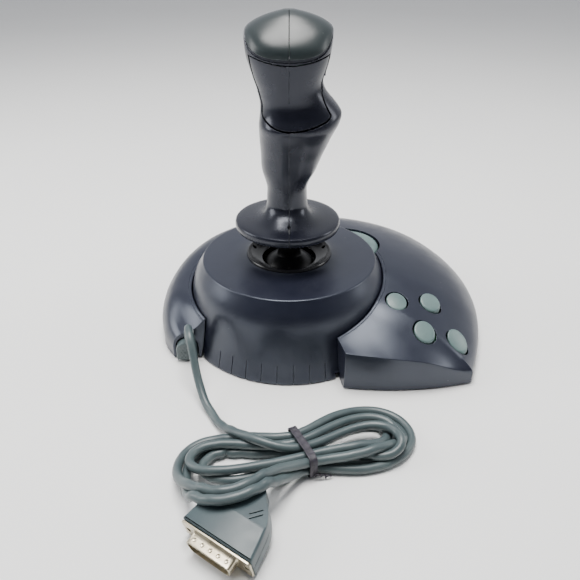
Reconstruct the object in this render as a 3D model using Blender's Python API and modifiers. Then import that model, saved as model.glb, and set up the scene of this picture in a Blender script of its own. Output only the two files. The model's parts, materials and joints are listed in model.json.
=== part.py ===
"""A desktop flight joystick: base with a button wing, gimbal, twisting grip, cord and game-port plug.

Run with blender --background --python part.py, or from Blender's text editor.
The design is drawn in millimetres in the stick's own frame: the stick's axis is X = Y = 0, the surface that
the base stands on is Z = 0, +Y points away from the user and +X to the user's right. Everything hangs from
one empty, which puts the middle of the base's outline at the world's origin.
"""

import math

import bmesh
import bpy
from mathutils import Matrix, Vector

MM = 0.001

# ---- driving dimensions, millimetres ----
GAP = 0.35  # between pieces that touch on the real object
PLATE_RADIUS = 58.0
PLATE_TOP = 53.5
SKIRT_RADIUS = 72.2
HUB_WALL = 2.5
HUB_BOTTOM = 1.0
# The hub's wall from the plate's edge down to the skirt: radius, height.
HUB_PROFILE = [
    (PLATE_RADIUS, PLATE_TOP - 0.8), (60.3, 49.0), (62.8, 44.5), (64.6, 40.0), (65.8, 35.0),
    (66.9, 28.0), (68.4, 18.0), (70.3, 8.0), (SKIRT_RADIUS, HUB_BOTTOM),
]
SKIRT_GROOVES = 8
GROOVE_FIRST_DEG = 51.2
GROOVE_STEP_DEG = 8.2
OPENING_RADIUS = 18.0
RING_RADIUS = 28.2
RING_TOP = 57.0

CASING_WALL = 2.3
CASING_BOTTOM = 1.0
CASING_SEAM = 0.9  # the groove between the casing's top and the hub's wall
WING_FRONT = [(-33.5, 74.8), (-70.0, 76.6), (-113.0, 70.0)]
# The outline from the wing's outer corner, behind the hub, to the lobe's end at the cord.
CASING_SIDE = [
    (-113.0, 70.0), (-119.5, 54.0), (-125.5, 37.0), (-130.0, 20.0), (-132.8, 3.0), (-133.6, -14.0),
    (-132.2, -31.0), (-128.2, -48.0), (-121.5, -65.0), (-111.5, -82.0), (-97.5, -97.0), (-80.0, -108.0),
    (-60.0, -115.0), (-39.0, -118.0), (-17.0, -117.0), (4.0, -113.5), (25.0, -107.0), (44.0, -98.0),
    (60.0, -85.0), (72.5, -68.5), (81.0, -50.0), (86.5, -31.0), (89.2, -12.0), (89.0, 6.0),
    (86.5, 21.0), (82.0, 34.0), (75.5, 44.5),
]
# Stations round the base, by angle from +X: height at the hub, height of the outer wall's top edge, and how
# the top surface bends between them (a bend of 1 and a round of 1 is a straight slope).
CASING_STATIONS = [
    (114.0, 29.3, 27.5, 1.10, 1.00), (126.0, 32.4, 25.5, 1.20, 1.00), (137.5, 35.9, 21.0, 1.35, 0.95),
    (148.2, 39.6, 9.5, 1.55, 0.80), (163.0, 43.0, 9.0, 1.60, 0.75), (172.5, 45.3, 9.5, 1.65, 0.72),
    (190.0, 47.2, 10.0, 1.75, 0.68), (210.0, 48.0, 10.0, 1.80, 0.65), (240.0, 47.5, 9.0, 1.90, 0.62),
    (270.0, 45.5, 9.0, 2.00, 0.60), (300.0, 43.5, 9.0, 2.10, 0.58), (330.0, 40.0, 9.0, 2.20, 0.55),
    (350.0, 36.0, 9.0, 2.30, 0.52), (365.0, 33.5, 9.0, 2.40, 0.50), (386.0, 31.8, 10.0, 2.40, 0.50),
    (398.0, 29.6, 11.0, 2.40, 0.50),
]
WING_END_DEG = 115.6  # where the wing's short side wall meets the hub
LOBE_END_DEG = 397.6  # where the lobe's end wall meets the hub

FEET = [(-104.0, 52.0), (-98.0, -72.0), (52.0, -72.0), (30.0, 56.0)]
# Screws of the bottom plate, and how high the boss over each one goes.
CASE_SCREWS = [(-122.0, 0.0, 18.5), (-40.0, -104.0, 24.5), (73.5, -20.5, 32.0), (-60.0, 66.0, 25.5)]
SHARES = [0.0, 0.16, 0.34, 0.52, 0.69, 0.83, 0.94, 1.0]  # places across the casing's top, from the hub out

# Base buttons: centre, cap height at the centre, slope of the cap along X and Y.
BASE_BUTTONS = [
    ((-68.6, 35.2), 38.6, (0.10, -0.38)), ((-91.2, 31.6), 35.6, (0.20, -0.40)),
    ((-83.6, 55.6), 29.8, (0.16, -0.52)), ((-105.2, 55.0), 22.2, (0.46, -0.60)),
]
BUTTON_RADIUS = 6.6
BUTTON_WELL = 7.45
BUTTON_TRAVEL = 1.6
SWITCH_TOP = 12.0

WHEEL_CENTRE = (-41.2, -28.5)
WHEEL_RADIUS = 23.3
WHEEL_BOTTOM, WHEEL_TOP = 39.2, 47.4
WHEEL_NOTCH = 24.2

PIVOT_HEIGHT = 33.0
DOME_RADIUS = 23.5
SHAFT_RADIUS = 5.0
COLLAR_RADIUS = 7.2
BORE_RADIUS = 8.0
SHAFT_TOP = 121.0

DISC_RADIUS = 34.0
GRIP_WALL = 2.2
# The grip, bottom to top: height, reach to +X, to -X, to +Y and to -Y, squareness of the section.
GRIP_SECTIONS = [
    (80.0, 14.8, 13.0, 14.5, 15.0, 2.2), (90.0, 14.2, 11.8, 13.6, 14.5, 2.2),
    (97.0, 14.1, 11.4, 13.5, 14.5, 2.2), (103.0, 13.9, 11.3, 14.0, 15.0, 2.2),
    (108.0, 15.1, 12.9, 15.0, 16.5, 2.2), (114.0, 16.8, 16.3, 16.4, 18.5, 2.3),
    (119.0, 17.3, 18.4, 17.5, 20.0, 2.3), (124.5, 17.4, 20.7, 18.6, 21.5, 2.3),
    (129.5, 17.7, 23.0, 19.8, 22.5, 2.3), (134.5, 18.0, 25.2, 21.0, 23.0, 2.3),
    (139.0, 18.0, 27.4, 22.6, 23.0, 2.3), (142.5, 18.0, 29.2, 23.8, 22.8, 2.3),
    (146.0, 17.6, 30.6, 22.4, 22.2, 2.3), (149.0, 17.2, 31.0, 20.6, 21.6, 2.3),
    (152.5, 17.0, 29.0, 19.6, 21.2, 2.3), (156.0, 17.2, 26.0, 19.0, 21.0, 2.3),
    (160.0, 18.0, 22.4, 19.2, 21.2, 2.4), (164.0, 19.0, 20.2, 19.8, 21.8, 2.4),
    (168.0, 20.3, 19.6, 20.6, 22.6, 2.5), (174.0, 22.2, 21.5, 21.6, 24.0, 2.6),
    (180.0, 24.1, 23.0, 22.4, 25.0, 2.7), (186.0, 25.0, 24.0, 21.6, 24.6, 2.7),
    (191.0, 25.2, 24.5, 17.5, 22.5, 2.6), (195.0, 24.0, 24.0, 12.5, 20.0, 2.4),
    (198.5, 18.5, 19.0, 7.5, 17.0, 2.2), (201.3, 11.0, 11.5, 3.0, 14.0, 2.1), (203.2, 3.5, 3.5, -2.0, 9.0, 2.0),
]
CAP_CREASE = 191.5  # height of the cap's lower edge over the stick's axis
CAP_SLOPE = -0.5  # the crease drops towards the front and leaves the crown behind
TRIGGER_OUTLINE = [
    (0.0, 178.2), (11.0, 179.5), (21.6, 182.2), (19.8, 172.0), (16.8, 161.5), (15.6, 151.5),
    (12.2, 147.6), (5.4, 144.8), (-3.0, 144.2), (-11.8, 145.4), (-21.0, 148.2), (-23.4, 150.4),
    (-20.8, 154.8), (-18.6, 160.0), (-18.2, 164.0), (-20.2, 172.0), (-22.0, 182.2), (-11.0, 179.5),
]
TRIGGER_GAP = 0.7
TRIGGER_THICKNESS = 2.8
TRIGGER_PIVOT = (13.5, 174.0)  # Y, Z
HAT_PIVOT = (-17.5, 178.0)  # Y, Z
HAT_RADIUS = 6.5
THUMB_BUTTONS = [(-13.0, 173.0), (13.0, 173.0), (0.0, 161.5)]  # X, Z
THUMB_RADIUS = 3.8
THUMB_TRAVEL = 1.4

# Screws that hold the grip's halves: Y, Z, and how far the boss on each side (1 right, -1 left) reaches.
GRIP_SCREWS = [(1.6, 135.0, {1: 17.2, -1: 24.0}), (1.0, 165.0, {1: 18.2, -1: 18.8})]

CORD_DIAMETER = 5.0
# The cord from the top of the strain relief, over in a short arc and down to the edge of the hank.
LEAD_ROUTE = [
    (63.3, 47.6, 15.8), (63.4, 47.7, 18.5), (63.6, 47.7, 21.5), (63.5, 48.6, 25.7), (63.0, 51.3, 29.2),
    (62.4, 54.3, 30.9), (61.6, 57.7, 31.5), (60.7, 61.1, 30.9), (59.8, 64.1, 29.2), (58.9, 67.0, 26.1),
    (57.9, 70.0, 22.4), (56.6, 73.8, 18.0), (55.2, 77.8, 13.9), (53.3, 82.5, 10.0), (50.9, 88.0, 6.6),
    (48.4, 93.0, 4.3), (44.8, 98.5, 3.0), (41.1, 104.9, 2.8), (37.2, 109.8, 2.8), (33.2, 114.6, 2.8),
]
# The hank's outline seen from above: a wide left lobe, the waist in the tie, a right lobe.
HANK_OUTLINE = [
    (-1.4, 118.9), (14.0, 119.6), (28.0, 118.6), (41.0, 115.4), (52.0, 117.4), (59.0, 124.6), (61.6, 134.0),
    (60.8, 144.0), (57.0, 153.5), (47.5, 162.0), (34.0, 166.0), (18.0, 164.0), (6.5, 157.0), (-3.5, 149.0),
    (-12.4, 143.6), (-22.0, 141.6), (-36.0, 141.6), (-50.0, 139.4), (-62.0, 132.4), (-68.6, 122.0),
    (-68.6, 109.0), (-63.5, 99.6), (-53.0, 94.3), (-40.0, 95.6), (-28.0, 100.8), (-17.0, 107.0), (-9.0, 113.6),
]
HANK_BOTTOM, HANK_TOP = 1.5, 13.0
TIE_CENTRE = (-7.0, 131.3, 7.25)
TIE_TURN_DEG = 24.8  # direction of the bundle that the tie goes round
TIE_INSIDE = (26.4, 12.2)  # across the bundle, and high
TIE_WIDTH = 4.6
TIE_THICKNESS = 0.9

PLUG_CENTRE = (30.5, 186.0, 7.9)  # middle of the flange
PLUG_HEADING_DEG = 55.5  # the way the pins point, from +X
# Half of the hood's outline: how far back from the flange, and out from the middle.
HOOD_OUTLINE = [(0.0, 19.7), (-12.8, 17.4), (-18.0, 15.9), (-23.0, 12.4), (-28.0, 6.8), (-32.0, 4.6)]
HOOD_BOTTOM, HOOD_TOP = 0.5, 15.3
FLANGE_SIZE = (39.2, 12.5)
FLANGE_HOLES = 33.3
SHROUD_SIZE = (25.2, 8.4)
SHROUD_REACH = 7.0
PIN_PITCH = 2.76
PIN_ROW_GAP = 2.84


# ---- scene, collections and materials ----
for old in list(bpy.data.objects):
    bpy.data.objects.remove(old, do_unlink=True)

PARTS = bpy.data.collections.new("flight_joystick")
CUTTERS = bpy.data.collections.new("cutters")
for made in (PARTS, CUTTERS):
    bpy.context.scene.collection.children.link(made)
CUTTERS.hide_render = True


def material(name, colour, roughness, metallic=0.0):
    made = bpy.data.materials.new(name)
    made.use_nodes = True
    shader = made.node_tree.nodes["Principled BSDF"]
    shader.inputs["Base Color"].default_value = (*colour, 1.0)
    shader.inputs["Roughness"].default_value = roughness
    shader.inputs["Metallic"].default_value = metallic
    return made


CHARCOAL = material("charcoal_plastic", (0.022, 0.024, 0.032), 0.38)
GLOSS_BLACK = material("gloss_black_plastic", (0.010, 0.010, 0.012), 0.18)
CAP_GREY = material("cap_grey_plastic", (0.045, 0.056, 0.058), 0.32)
GREEN_GREY = material("green_grey_plastic", (0.18, 0.27, 0.25), 0.42)
CORD_GREY = material("cord_grey_vinyl", (0.095, 0.130, 0.130), 0.48)
BLACK_RUBBER = material("black_rubber", (0.012, 0.012, 0.012), 0.75)
STEEL = material("zinc_steel", (0.55, 0.55, 0.53), 0.35, 1.0)
NICKEL = material("nickel_plate", (0.62, 0.58, 0.50), 0.28, 1.0)
ACETAL = material("white_acetal", (0.72, 0.70, 0.64), 0.45)
BOARD = material("green_circuit_board", (0.03, 0.16, 0.07), 0.45)
POT_BLUE = material("blue_potentiometer", (0.06, 0.12, 0.32), 0.4)

ROOT = bpy.data.objects.new("stick_frame", None)
PARTS.objects.link(ROOT)


# ---- shape helpers: sizes come in millimetres ----
def spot(x, y, z):
    return Vector((x, y, z)) * MM


def add(name, mesh, finish, where=(0, 0, 0), collection=None):
    """An object of this mesh, hung from the stick frame at a place in millimetres."""
    made = bpy.data.objects.new(name, mesh)
    (collection or PARTS).objects.link(made)
    made.parent = ROOT
    made.location = spot(*where)
    if finish:
        mesh.materials.append(finish)
    if collection is CUTTERS:
        made.hide_render = True
        made.display_type = "WIRE"
    return made


def finish_mesh(work, name, smooth_deg=35):
    """A mesh with its faces pointing out, shaded smooth up to an angle."""
    bmesh.ops.recalc_face_normals(work, faces=work.faces)
    made = bpy.data.meshes.new(name)
    work.to_mesh(made)
    work.free()
    made.shade_smooth()
    made.set_sharp_from_angle(angle=math.radians(smooth_deg))
    return made


def loft(name, rings, finish, where=(0, 0, 0), collection=None, ends=True):
    """A closed solid through rings of equally many points."""
    work = bmesh.new()
    layers = [[work.verts.new(spot(*p)) for p in ring] for ring in rings]
    for low, high in zip(layers, layers[1:]):
        for i in range(len(low)):
            j = (i + 1) % len(low)
            work.faces.new((low[i], low[j], high[j], high[i]))
    if ends:
        for layer in (layers[0], layers[-1]):
            work.faces.new(layer)
    bmesh.ops.recalc_face_normals(work, faces=work.faces)
    bmesh.ops.triangulate(work, faces=work.faces)
    return add(name, finish_mesh(work, name), finish, where, collection)


def prism(name, outline, low, high, finish, where=(0, 0, 0), collection=None, turn=None):
    """An outline in X and Y, extruded from one height to another, then turned by a matrix."""
    work = bmesh.new()
    base = [work.verts.new(spot(x, y, low)) for x, y in outline]
    face = work.faces.new(base)
    grown = bmesh.ops.extrude_face_region(work, geom=[face])
    top = [v for v in grown["geom"] if isinstance(v, bmesh.types.BMVert)]
    bmesh.ops.translate(work, verts=top, vec=spot(0, 0, high - low))
    bmesh.ops.triangulate(work, faces=[f for f in work.faces if len(f.verts) > 4])
    if turn is not None:
        bmesh.ops.transform(work, matrix=turn, verts=work.verts)
    return add(name, finish_mesh(work, name), finish, where, collection)


def box(name, size, where, finish=None, collection=None, bevel=0.0, turn=None):
    work = bmesh.new()
    bmesh.ops.create_cube(work, size=1.0)
    bmesh.ops.scale(work, vec=spot(*size), verts=work.verts)
    if bevel:
        bmesh.ops.bevel(work, geom=work.edges[:], offset=bevel * MM, segments=2, profile=0.5, affect="EDGES")
    if turn is not None:
        bmesh.ops.transform(work, matrix=turn, verts=work.verts)
    return add(name, finish_mesh(work, name), finish, where, collection)


AXIS_TURN = {"Z": Matrix(), "X": Matrix.Rotation(math.pi / 2, 4, "Y"), "Y": Matrix.Rotation(-math.pi / 2, 4, "X")}


def rod(name, radius, span, where, finish=None, axis="Z", collection=None, sides=20, tip=None, turn=None):
    """A cylinder along an axis, from span[0] to span[1] past its place; tip is its far end's radius."""
    work = bmesh.new()
    bmesh.ops.create_cone(work, cap_ends=True, segments=sides, radius1=radius * MM,
                          radius2=(radius if tip is None else tip) * MM, depth=(span[1] - span[0]) * MM)
    bmesh.ops.translate(work, verts=work.verts, vec=spot(0, 0, (span[0] + span[1]) / 2))
    bmesh.ops.transform(work, matrix=turn or AXIS_TURN[axis], verts=work.verts)
    return add(name, finish_mesh(work, name), finish, where, collection)


def turned(name, profile, finish=None, where=(0, 0, 0), collection=None, steps=40, axis="Z"):
    """A profile of radius and height, going down its outer side, turned with a Screw modifier."""
    closed = profile[0][0] > 0
    work = bmesh.new()
    points = [work.verts.new(spot(r, 0, z)) for r, z in profile]
    for a, b in zip(points, points[1:] + (points[:1] if closed else [])):
        work.edges.new((a, b))
    mesh = bpy.data.meshes.new(name)
    work.to_mesh(mesh)
    work.free()
    made = add(name, mesh, finish, where, collection)
    screw = made.modifiers.new("turn", "SCREW")
    screw.steps = screw.render_steps = steps
    screw.use_merge_vertices = True
    screw.merge_threshold = 0.00001
    screw.use_smooth_shade = True
    bake(made)
    made.data.transform(AXIS_TURN[axis])
    made.data.set_sharp_from_angle(angle=math.radians(35))
    return made


def bake(made):
    """Replaces an object's mesh by its evaluated one."""
    bpy.context.view_layer.update()
    graph = bpy.context.evaluated_depsgraph_get()
    mesh = bpy.data.meshes.new_from_object(made.evaluated_get(graph))
    made.modifiers.clear()
    made.data = mesh
    return made


def combine(made, operation, *others):
    """Booleans with an EXACT solver, applied one after another; the others stay as cutters."""
    for other in others:
        if other.name not in CUTTERS.objects:
            PARTS.objects.unlink(other)
            CUTTERS.objects.link(other)
            other.hide_render = True
            other.display_type = "WIRE"
        step = made.modifiers.new(other.name, "BOOLEAN")
        step.operation = operation
        step.solver = "EXACT"
        step.object = other
    bake(made)
    made.data.set_sharp_from_angle(angle=math.radians(35))
    return made


def tube(name, points, diameter, finish, cyclic=False, sides=3):
    """A round tube along points, closed at its ends, as a mesh."""
    curve = bpy.data.curves.new(name, "CURVE")
    curve.dimensions = "3D"
    curve.bevel_depth = diameter / 2 * MM
    curve.bevel_resolution = sides
    curve.use_fill_caps = True
    line = curve.splines.new("POLY")
    line.points.add(len(points) - 1)
    for knot, p in zip(line.points, points):
        knot.co = (*spot(*p), 1.0)
    made = bpy.data.objects.new(name, curve)
    PARTS.objects.link(made)
    made.parent = ROOT
    curve.materials.append(finish)
    return made


def smooth_line(points, step):
    """Points about a step apart along a smooth curve through the given ones (Catmull-Rom)."""
    points = [Vector(p) for p in points]
    ends = [points[0] * 2 - points[1]] + points + [points[-1] * 2 - points[-2]]
    line = []
    for a, b, c, d in zip(ends, ends[1:], ends[2:], ends[3:]):
        count = max(1, round((c - b).length / step))
        for i in range(count):
            t = i / count
            line.append(0.5 * (2 * b + (c - a) * t + (2 * a - 5 * b + 4 * c - d) * t * t
                               + (3 * b - a - 3 * c + d) * t ** 3))
    return line + [points[-1]]


def smooth_loop(points, each):
    """A closed smooth outline in X and Y through the given points, each of its stretches cut in so many."""
    count = len(points)
    loop = []
    for k in range(count):
        a, b, c, d = (Vector(points[(k + i) % count]) for i in (-1, 0, 1, 2))
        for i in range(each):
            t = i / each
            p = 0.5 * (2 * b + (c - a) * t + (2 * a - 5 * b + 4 * c - d) * t * t
                       + (3 * b - a - 3 * c + d) * t ** 3)
            loop.append((p.x, p.y))
    return loop


def station(table, at, column):
    """A column's value at a place, on straight lines between the table's rows."""
    for low, high in zip(table, table[1:]):
        if at <= high[0]:
            share = max(0.0, (at - low[0]) / (high[0] - low[0]))
            return low[column] + share * (high[column] - low[column])
    return table[-1][column]


def inset(outline, distance):
    """The outline moved inwards; it is listed with its inside on the left or the right, either way."""
    points = [Vector(p) for p in outline]
    area = sum(a.x * b.y - b.x * a.y for a, b in zip(points, points[1:] + points[:1]))
    side = 1 if area > 0 else -1
    moved = []
    for before, here, after in zip(points[-1:] + points[:-1], points, points[1:] + points[:1]):
        first, second = (here - before).normalized(), (after - here).normalized()
        normals = [Vector((-v.y, v.x)) * side for v in (first, second)]
        middle = (normals[0] + normals[1]).normalized()
        moved.append(here + middle * distance / max(0.5, middle.dot(normals[0])))
    return [(p.x, p.y) for p in moved]


# ---- base ----
def hub_radius(height):
    return station([(z, r) for r, z in reversed(HUB_PROFILE)], height, 1)


def ray(degrees, reach):
    return (reach * math.cos(math.radians(degrees)), reach * math.sin(math.radians(degrees)))


def make_hub():
    outer = [(26.0, PLATE_TOP), (PLATE_RADIUS - 0.8, PLATE_TOP)] + HUB_PROFILE
    inner = [(r - HUB_WALL, z) for r, z in reversed(HUB_PROFILE[2:])]
    ceiling = PLATE_TOP - HUB_WALL
    hub = turned("hub_housing", outer + inner + [(58.6, 48.2), (56.4, ceiling), (26.0, ceiling)], CHARCOAL, steps=48)
    cutters = [rod("hub_wheel_slot", WHEEL_NOTCH, (WHEEL_BOTTOM - 0.8, WHEEL_TOP + 0.9), (*WHEEL_CENTRE, 0),
                   collection=CUTTERS, sides=48)]
    # Behind the front skirt the wall ends above the bottom plate.
    back = [(0, 0), ray(39, 110), (110, -110), (-110, -110), (-110, 80), ray(114, 110)]
    cutters.append(prism("hub_back_relief", back, -5.0, 4.3, None, collection=CUTTERS))
    for i in range(SKIRT_GROOVES):
        angle = GROOVE_FIRST_DEG + i * GROOVE_STEP_DEG
        cutters.append(box(f"skirt_groove_{i + 1}", (3.0, 0.8, 18.0), (*ray(angle, hub_radius(4.0) + 0.9), 0.0),
                           collection=CUTTERS, turn=Matrix.Rotation(math.radians(angle), 4, "Z")))
    combine(hub, "DIFFERENCE", *cutters)
    ring = turned("stem_ring", [
        (OPENING_RADIUS, 52.4), (26.0, 56.5), (27.0, RING_TOP), (RING_RADIUS, 56.6), (RING_RADIUS + 0.3, 53.9),
        (25.6, 53.9), (25.6, 51.2), (OPENING_RADIUS + 0.6, 51.2)], GLOSS_BLACK, steps=36)
    pegs = [rod(f"ring_hole_{side}", 1.3, (50.0, 60.0), (side * 23.6, -7.3, 0), collection=CUTTERS, sides=12)
            for side in (-1, 1)]
    combine(ring, "DIFFERENCE", *pegs)


def casing_outline():
    """The outline's points from the wing's inner corner round to the lobe's end, and each point's angle."""
    (ax, ay), (cx, cy), (bx, by) = WING_FRONT
    front = []
    for i in range(6):
        # A gently bowed front face, through the three points.
        u = i / 3 - 1
        front.append(((ax + bx) / 2 + (bx - ax) / 2 * u, cy + (by - ay) / 2 * u + ((ay + by) / 2 - cy) * u * u))
    side = [(p.x, p.y) for p in smooth_line([(x, y, 0) for x, y in CASING_SIDE], 17.0)]
    points = []
    last = 0.0
    for x, y in front + side:
        angle = math.degrees(math.atan2(y, x))
        while angle < last - 1:
            angle += 360
        points.append((x, y, angle))
        last = angle
    return points


def casing_top(angle, share):
    """Height of the casing's top surface, a share of the way from the hub to the outline."""
    inner, edge, bend, rounding = (station(CASING_STATIONS, angle, c) for c in (1, 2, 3, 4))
    return edge + (inner - edge) * max(0.0, 1 - share ** bend) ** rounding


def casing_ring(x, y, angle, hub_deg, filled):
    """One section of the casing: a shell open below and towards the hub, or a wall filled to the hub."""
    top = casing_top(angle, 0.0)
    reach = hub_radius(top) + CASING_SEAM
    start, end = Vector(ray(hub_deg, reach)), Vector((x, y))
    along = (end - start).normalized()
    span = (end - start).length

    def at(share, inwards, height):
        p = start + along * (span * share + inwards)
        return (p.x, p.y, height)

    ring = [at(1.0, 0.0, CASING_BOTTOM)]
    ring += [at(s, 0.0, casing_top(angle, s)) for s in reversed(SHARES)]
    if filled:
        for i in range(len(SHARES) + 1):
            height = top - 4.0 - (top - 4.0 - CASING_BOTTOM) * i / len(SHARES)
            ring.append((*ray(hub_deg, hub_radius(height) + CASING_SEAM), height))
    else:
        flare = hub_radius(top - 4.0) - hub_radius(top)
        ring += [at(0.0, flare, top - 4.0), at(0.0, flare + CASING_WALL - 0.3, top - 4.0)]
        for s in SHARES[1:]:
            p = start + along * (CASING_WALL + (span - 2 * CASING_WALL) * s)
            ring.append((p.x, p.y, casing_top(angle, s) - CASING_WALL))
    ring.append(at(1.0, -CASING_WALL, CASING_BOTTOM))
    return ring


def make_casing(points):
    rows = []
    first, last = points[0], points[-1]
    for x, y, angle in points:
        # The end walls lean from the radial lines of their hub ends.
        hub_deg = angle + (WING_END_DEG - first[2]) * max(0.0, 1 - (angle - first[2]) / 12.0)
        hub_deg += (LOBE_END_DEG - last[2]) * max(0.0, 1 - (last[2] - angle) / 45.0)
        rows.append((x, y, angle, hub_deg))

    def between(a, b, share):
        return [p + (q - p) * share for p, q in zip(a, b)]

    walls = [rows[0], between(rows[0], rows[1], 0.40)]
    ends = [between(rows[-1], rows[-2], 0.26), rows[-1]]
    shells = [between(rows[0], rows[1], 0.46)] + rows[1:-1] + [between(rows[-1], rows[-2], 0.31)]
    sections = [casing_ring(*row, filled=True) for row in walls]
    sections += [casing_ring(*row, filled=False) for row in shells]
    sections += [casing_ring(*row, filled=True) for row in ends]
    casing = loft("base_casing", sections, CHARCOAL)
    bosses = [rod(f"casing_boss_{i + 1}", 3.6, (4.3, top), (x, y, 0), collection=CUTTERS, sides=14)
              for i, (x, y, top) in enumerate(CASE_SCREWS)]
    combine(casing, "UNION", *bosses)
    cutters = [rod(f"button_well_{i + 1}", BUTTON_WELL, (0.0, 70.0), (*centre, 0), collection=CUTTERS, sides=28)
               for i, (centre, _, _) in enumerate(BASE_BUTTONS)]
    cutters += [rod(f"boss_bore_{i + 1}", 1.8, (0.0, 13.0), (x, y, 0), collection=CUTTERS, sides=12)
                for i, (x, y, _) in enumerate(CASE_SCREWS)]
    cutters.append(rod("casing_wheel_notch", WHEEL_NOTCH, (WHEEL_BOTTOM - 0.8, 70.0), (*WHEEL_CENTRE, 0),
                       collection=CUTTERS, sides=56))
    cutters.append(prism("cord_arch", arch(7.4, 16.6, -1.0), -20, 12, None, (66.6, 46.0, 0), CUTTERS,
                         turn=Matrix.Rotation(math.pi / 2, 4, "X")))
    combine(casing, "DIFFERENCE", *cutters)
    prism("strain_relief", arch(6.6, 15.4, 1.6), -49.0, -40.5, CORD_GREY, (66.6, 0, 0),
          turn=Matrix.Rotation(math.pi / 2, 4, "X"))


def arch(half, height, floor):
    """An arch's outline: straight sides from the floor, and a half-round top."""
    top = [ray(a, half) for a in range(0, 181, 18)]
    return [(half, floor)] + [(x, height - half + y) for x, y in top] + [(-half, floor)]


def make_bottom(points):
    """The flat cover, its ballast, feet and screws."""
    outline = inset([(x, y) for x, y, _ in points], CASING_WALL + GAP)[:-1]
    outline = [(x, y) for x, y in outline if not (x > 50 and y > 30) and not (x > -40 and y > 40)]
    outline += [(72.0, 32.0), (52.0, 35.0)]
    outline += [ray(a, SKIRT_RADIUS - HUB_WALL - 1.7) for a in range(50, 111, 6)] + [(-33.0, 58.0)]
    plate = prism("base_bottom_plate", outline, 1.3, 3.8, CHARCOAL)
    box("ballast_plate", (36.0, 66.0, 4.0), (-95.0, -36.0, 6.15), STEEL, bevel=0.5)
    holes = []
    for i, (x, y) in enumerate(FEET):
        turned(f"rubber_foot_{i + 1}", [(0.0, 2.6), (5.2, 2.6), (5.6, 2.2), (5.6, 0.4), (5.2, 0.0), (0.0, 0.0)],
               BLACK_RUBBER, (x, y, 0), steps=20)
        holes.append(rod(f"foot_recess_{i + 1}", 6.0, (-2.0, 2.95), (x, y, 0), collection=CUTTERS, sides=20))
    for i, (x, y, _) in enumerate(CASE_SCREWS):
        turned(f"case_screw_{i + 1}", [(0.0, 11.0), (1.3, 11.0), (1.3, 2.6), (2.8, 2.6), (2.8, 1.5), (0.0, 1.5)],
               STEEL, (x, y, 0), steps=12)
        holes.append(rod(f"screw_recess_{i + 1}", 3.2, (-2.0, 2.95), (x, y, 0), collection=CUTTERS, sides=16))
        holes.append(rod(f"screw_bore_{i + 1}", 1.8, (0.0, 6.0), (x, y, 0), collection=CUTTERS, sides=12))
    combine(plate, "DIFFERENCE", *holes)


def make_buttons():
    for i, ((x, y), top, (gx, gy)) in enumerate(BASE_BUTTONS):
        def ring(radius, base, slope):
            points = []
            for k in range(24):
                dx, dy = ray(15 * k, radius)
                points.append((dx, dy, base + slope * (gx * dx + gy * dy)))
            return points
        foot = SWITCH_TOP + 0.4 + BUTTON_TRAVEL
        rings = [ring(2.6, foot, 0)]
        if top - 11.0 > foot + 1.0:
            rings += [ring(2.6, top - 11.0, 0), ring(BUTTON_RADIUS, top - 9.0, 0)]
        else:
            rings += [ring(BUTTON_RADIUS, foot + 1.4, 0)]
        rings += [ring(BUTTON_RADIUS, top - 0.9, 1), ring(BUTTON_RADIUS - 0.35, top - 0.25, 1),
                  ring(BUTTON_RADIUS - 1.1, top + 0.05, 1), ring(2.5, top + 0.3, 1)]
        loft(f"base_button_{i + 1}", rings, GREEN_GREY, (x, y, 0))
    outline = [(-70.5, 24.5), (-64.5, 38.0), (-58.5, 47.0), (-58.5, 61.0), (-111.0, 61.0), (-117.0, 45.0),
               (-122.0, 24.5)]
    board = prism("button_switch_board", outline, 6.6, 8.2, BOARD)
    switches = [box(f"switch_body_{i + 1}", (6.2, 6.2, SWITCH_TOP - 7.0), (x, y, (SWITCH_TOP + 7.0) / 2), None,
                    CUTTERS) for i, ((x, y), _, _) in enumerate(BASE_BUTTONS)]
    combine(board, "UNION", *switches)
    box("main_circuit_board", (56.0, 25.0, 1.6), (-4.0, -88.5, 8.0), BOARD)


def make_throttle():
    x, y = WHEEL_CENTRE
    turned("throttle_wheel", [
        (3.4, WHEEL_TOP), (WHEEL_RADIUS - 1.0, WHEEL_TOP), (WHEEL_RADIUS, WHEEL_TOP - 1.0),
        (WHEEL_RADIUS, WHEEL_BOTTOM + 0.8), (WHEEL_RADIUS - 0.8, WHEEL_BOTTOM), (3.4, WHEEL_BOTTOM)],
        GREEN_GREY, (x, y, 0), steps=36)
    turned("throttle_spindle", [
        (0.0, WHEEL_TOP + 1.6), (5.0, WHEEL_TOP + 1.6), (5.0, WHEEL_TOP + GAP), (3.0, WHEEL_TOP + GAP),
        (3.0, 30.6), (0.0, 30.6)], STEEL, (x, y, 0), steps=16)
    turned("throttle_potentiometer", [
        (0.0, 30.0), (3.4, 30.0), (3.4, 35.5), (5.0, 35.5), (5.0, 33.0), (8.2, 33.0), (8.2, 24.0), (6.0, 24.0),
        (6.0, 4.2), (0.0, 4.2)], POT_BLUE, (x, y, 0), steps=20)


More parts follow.
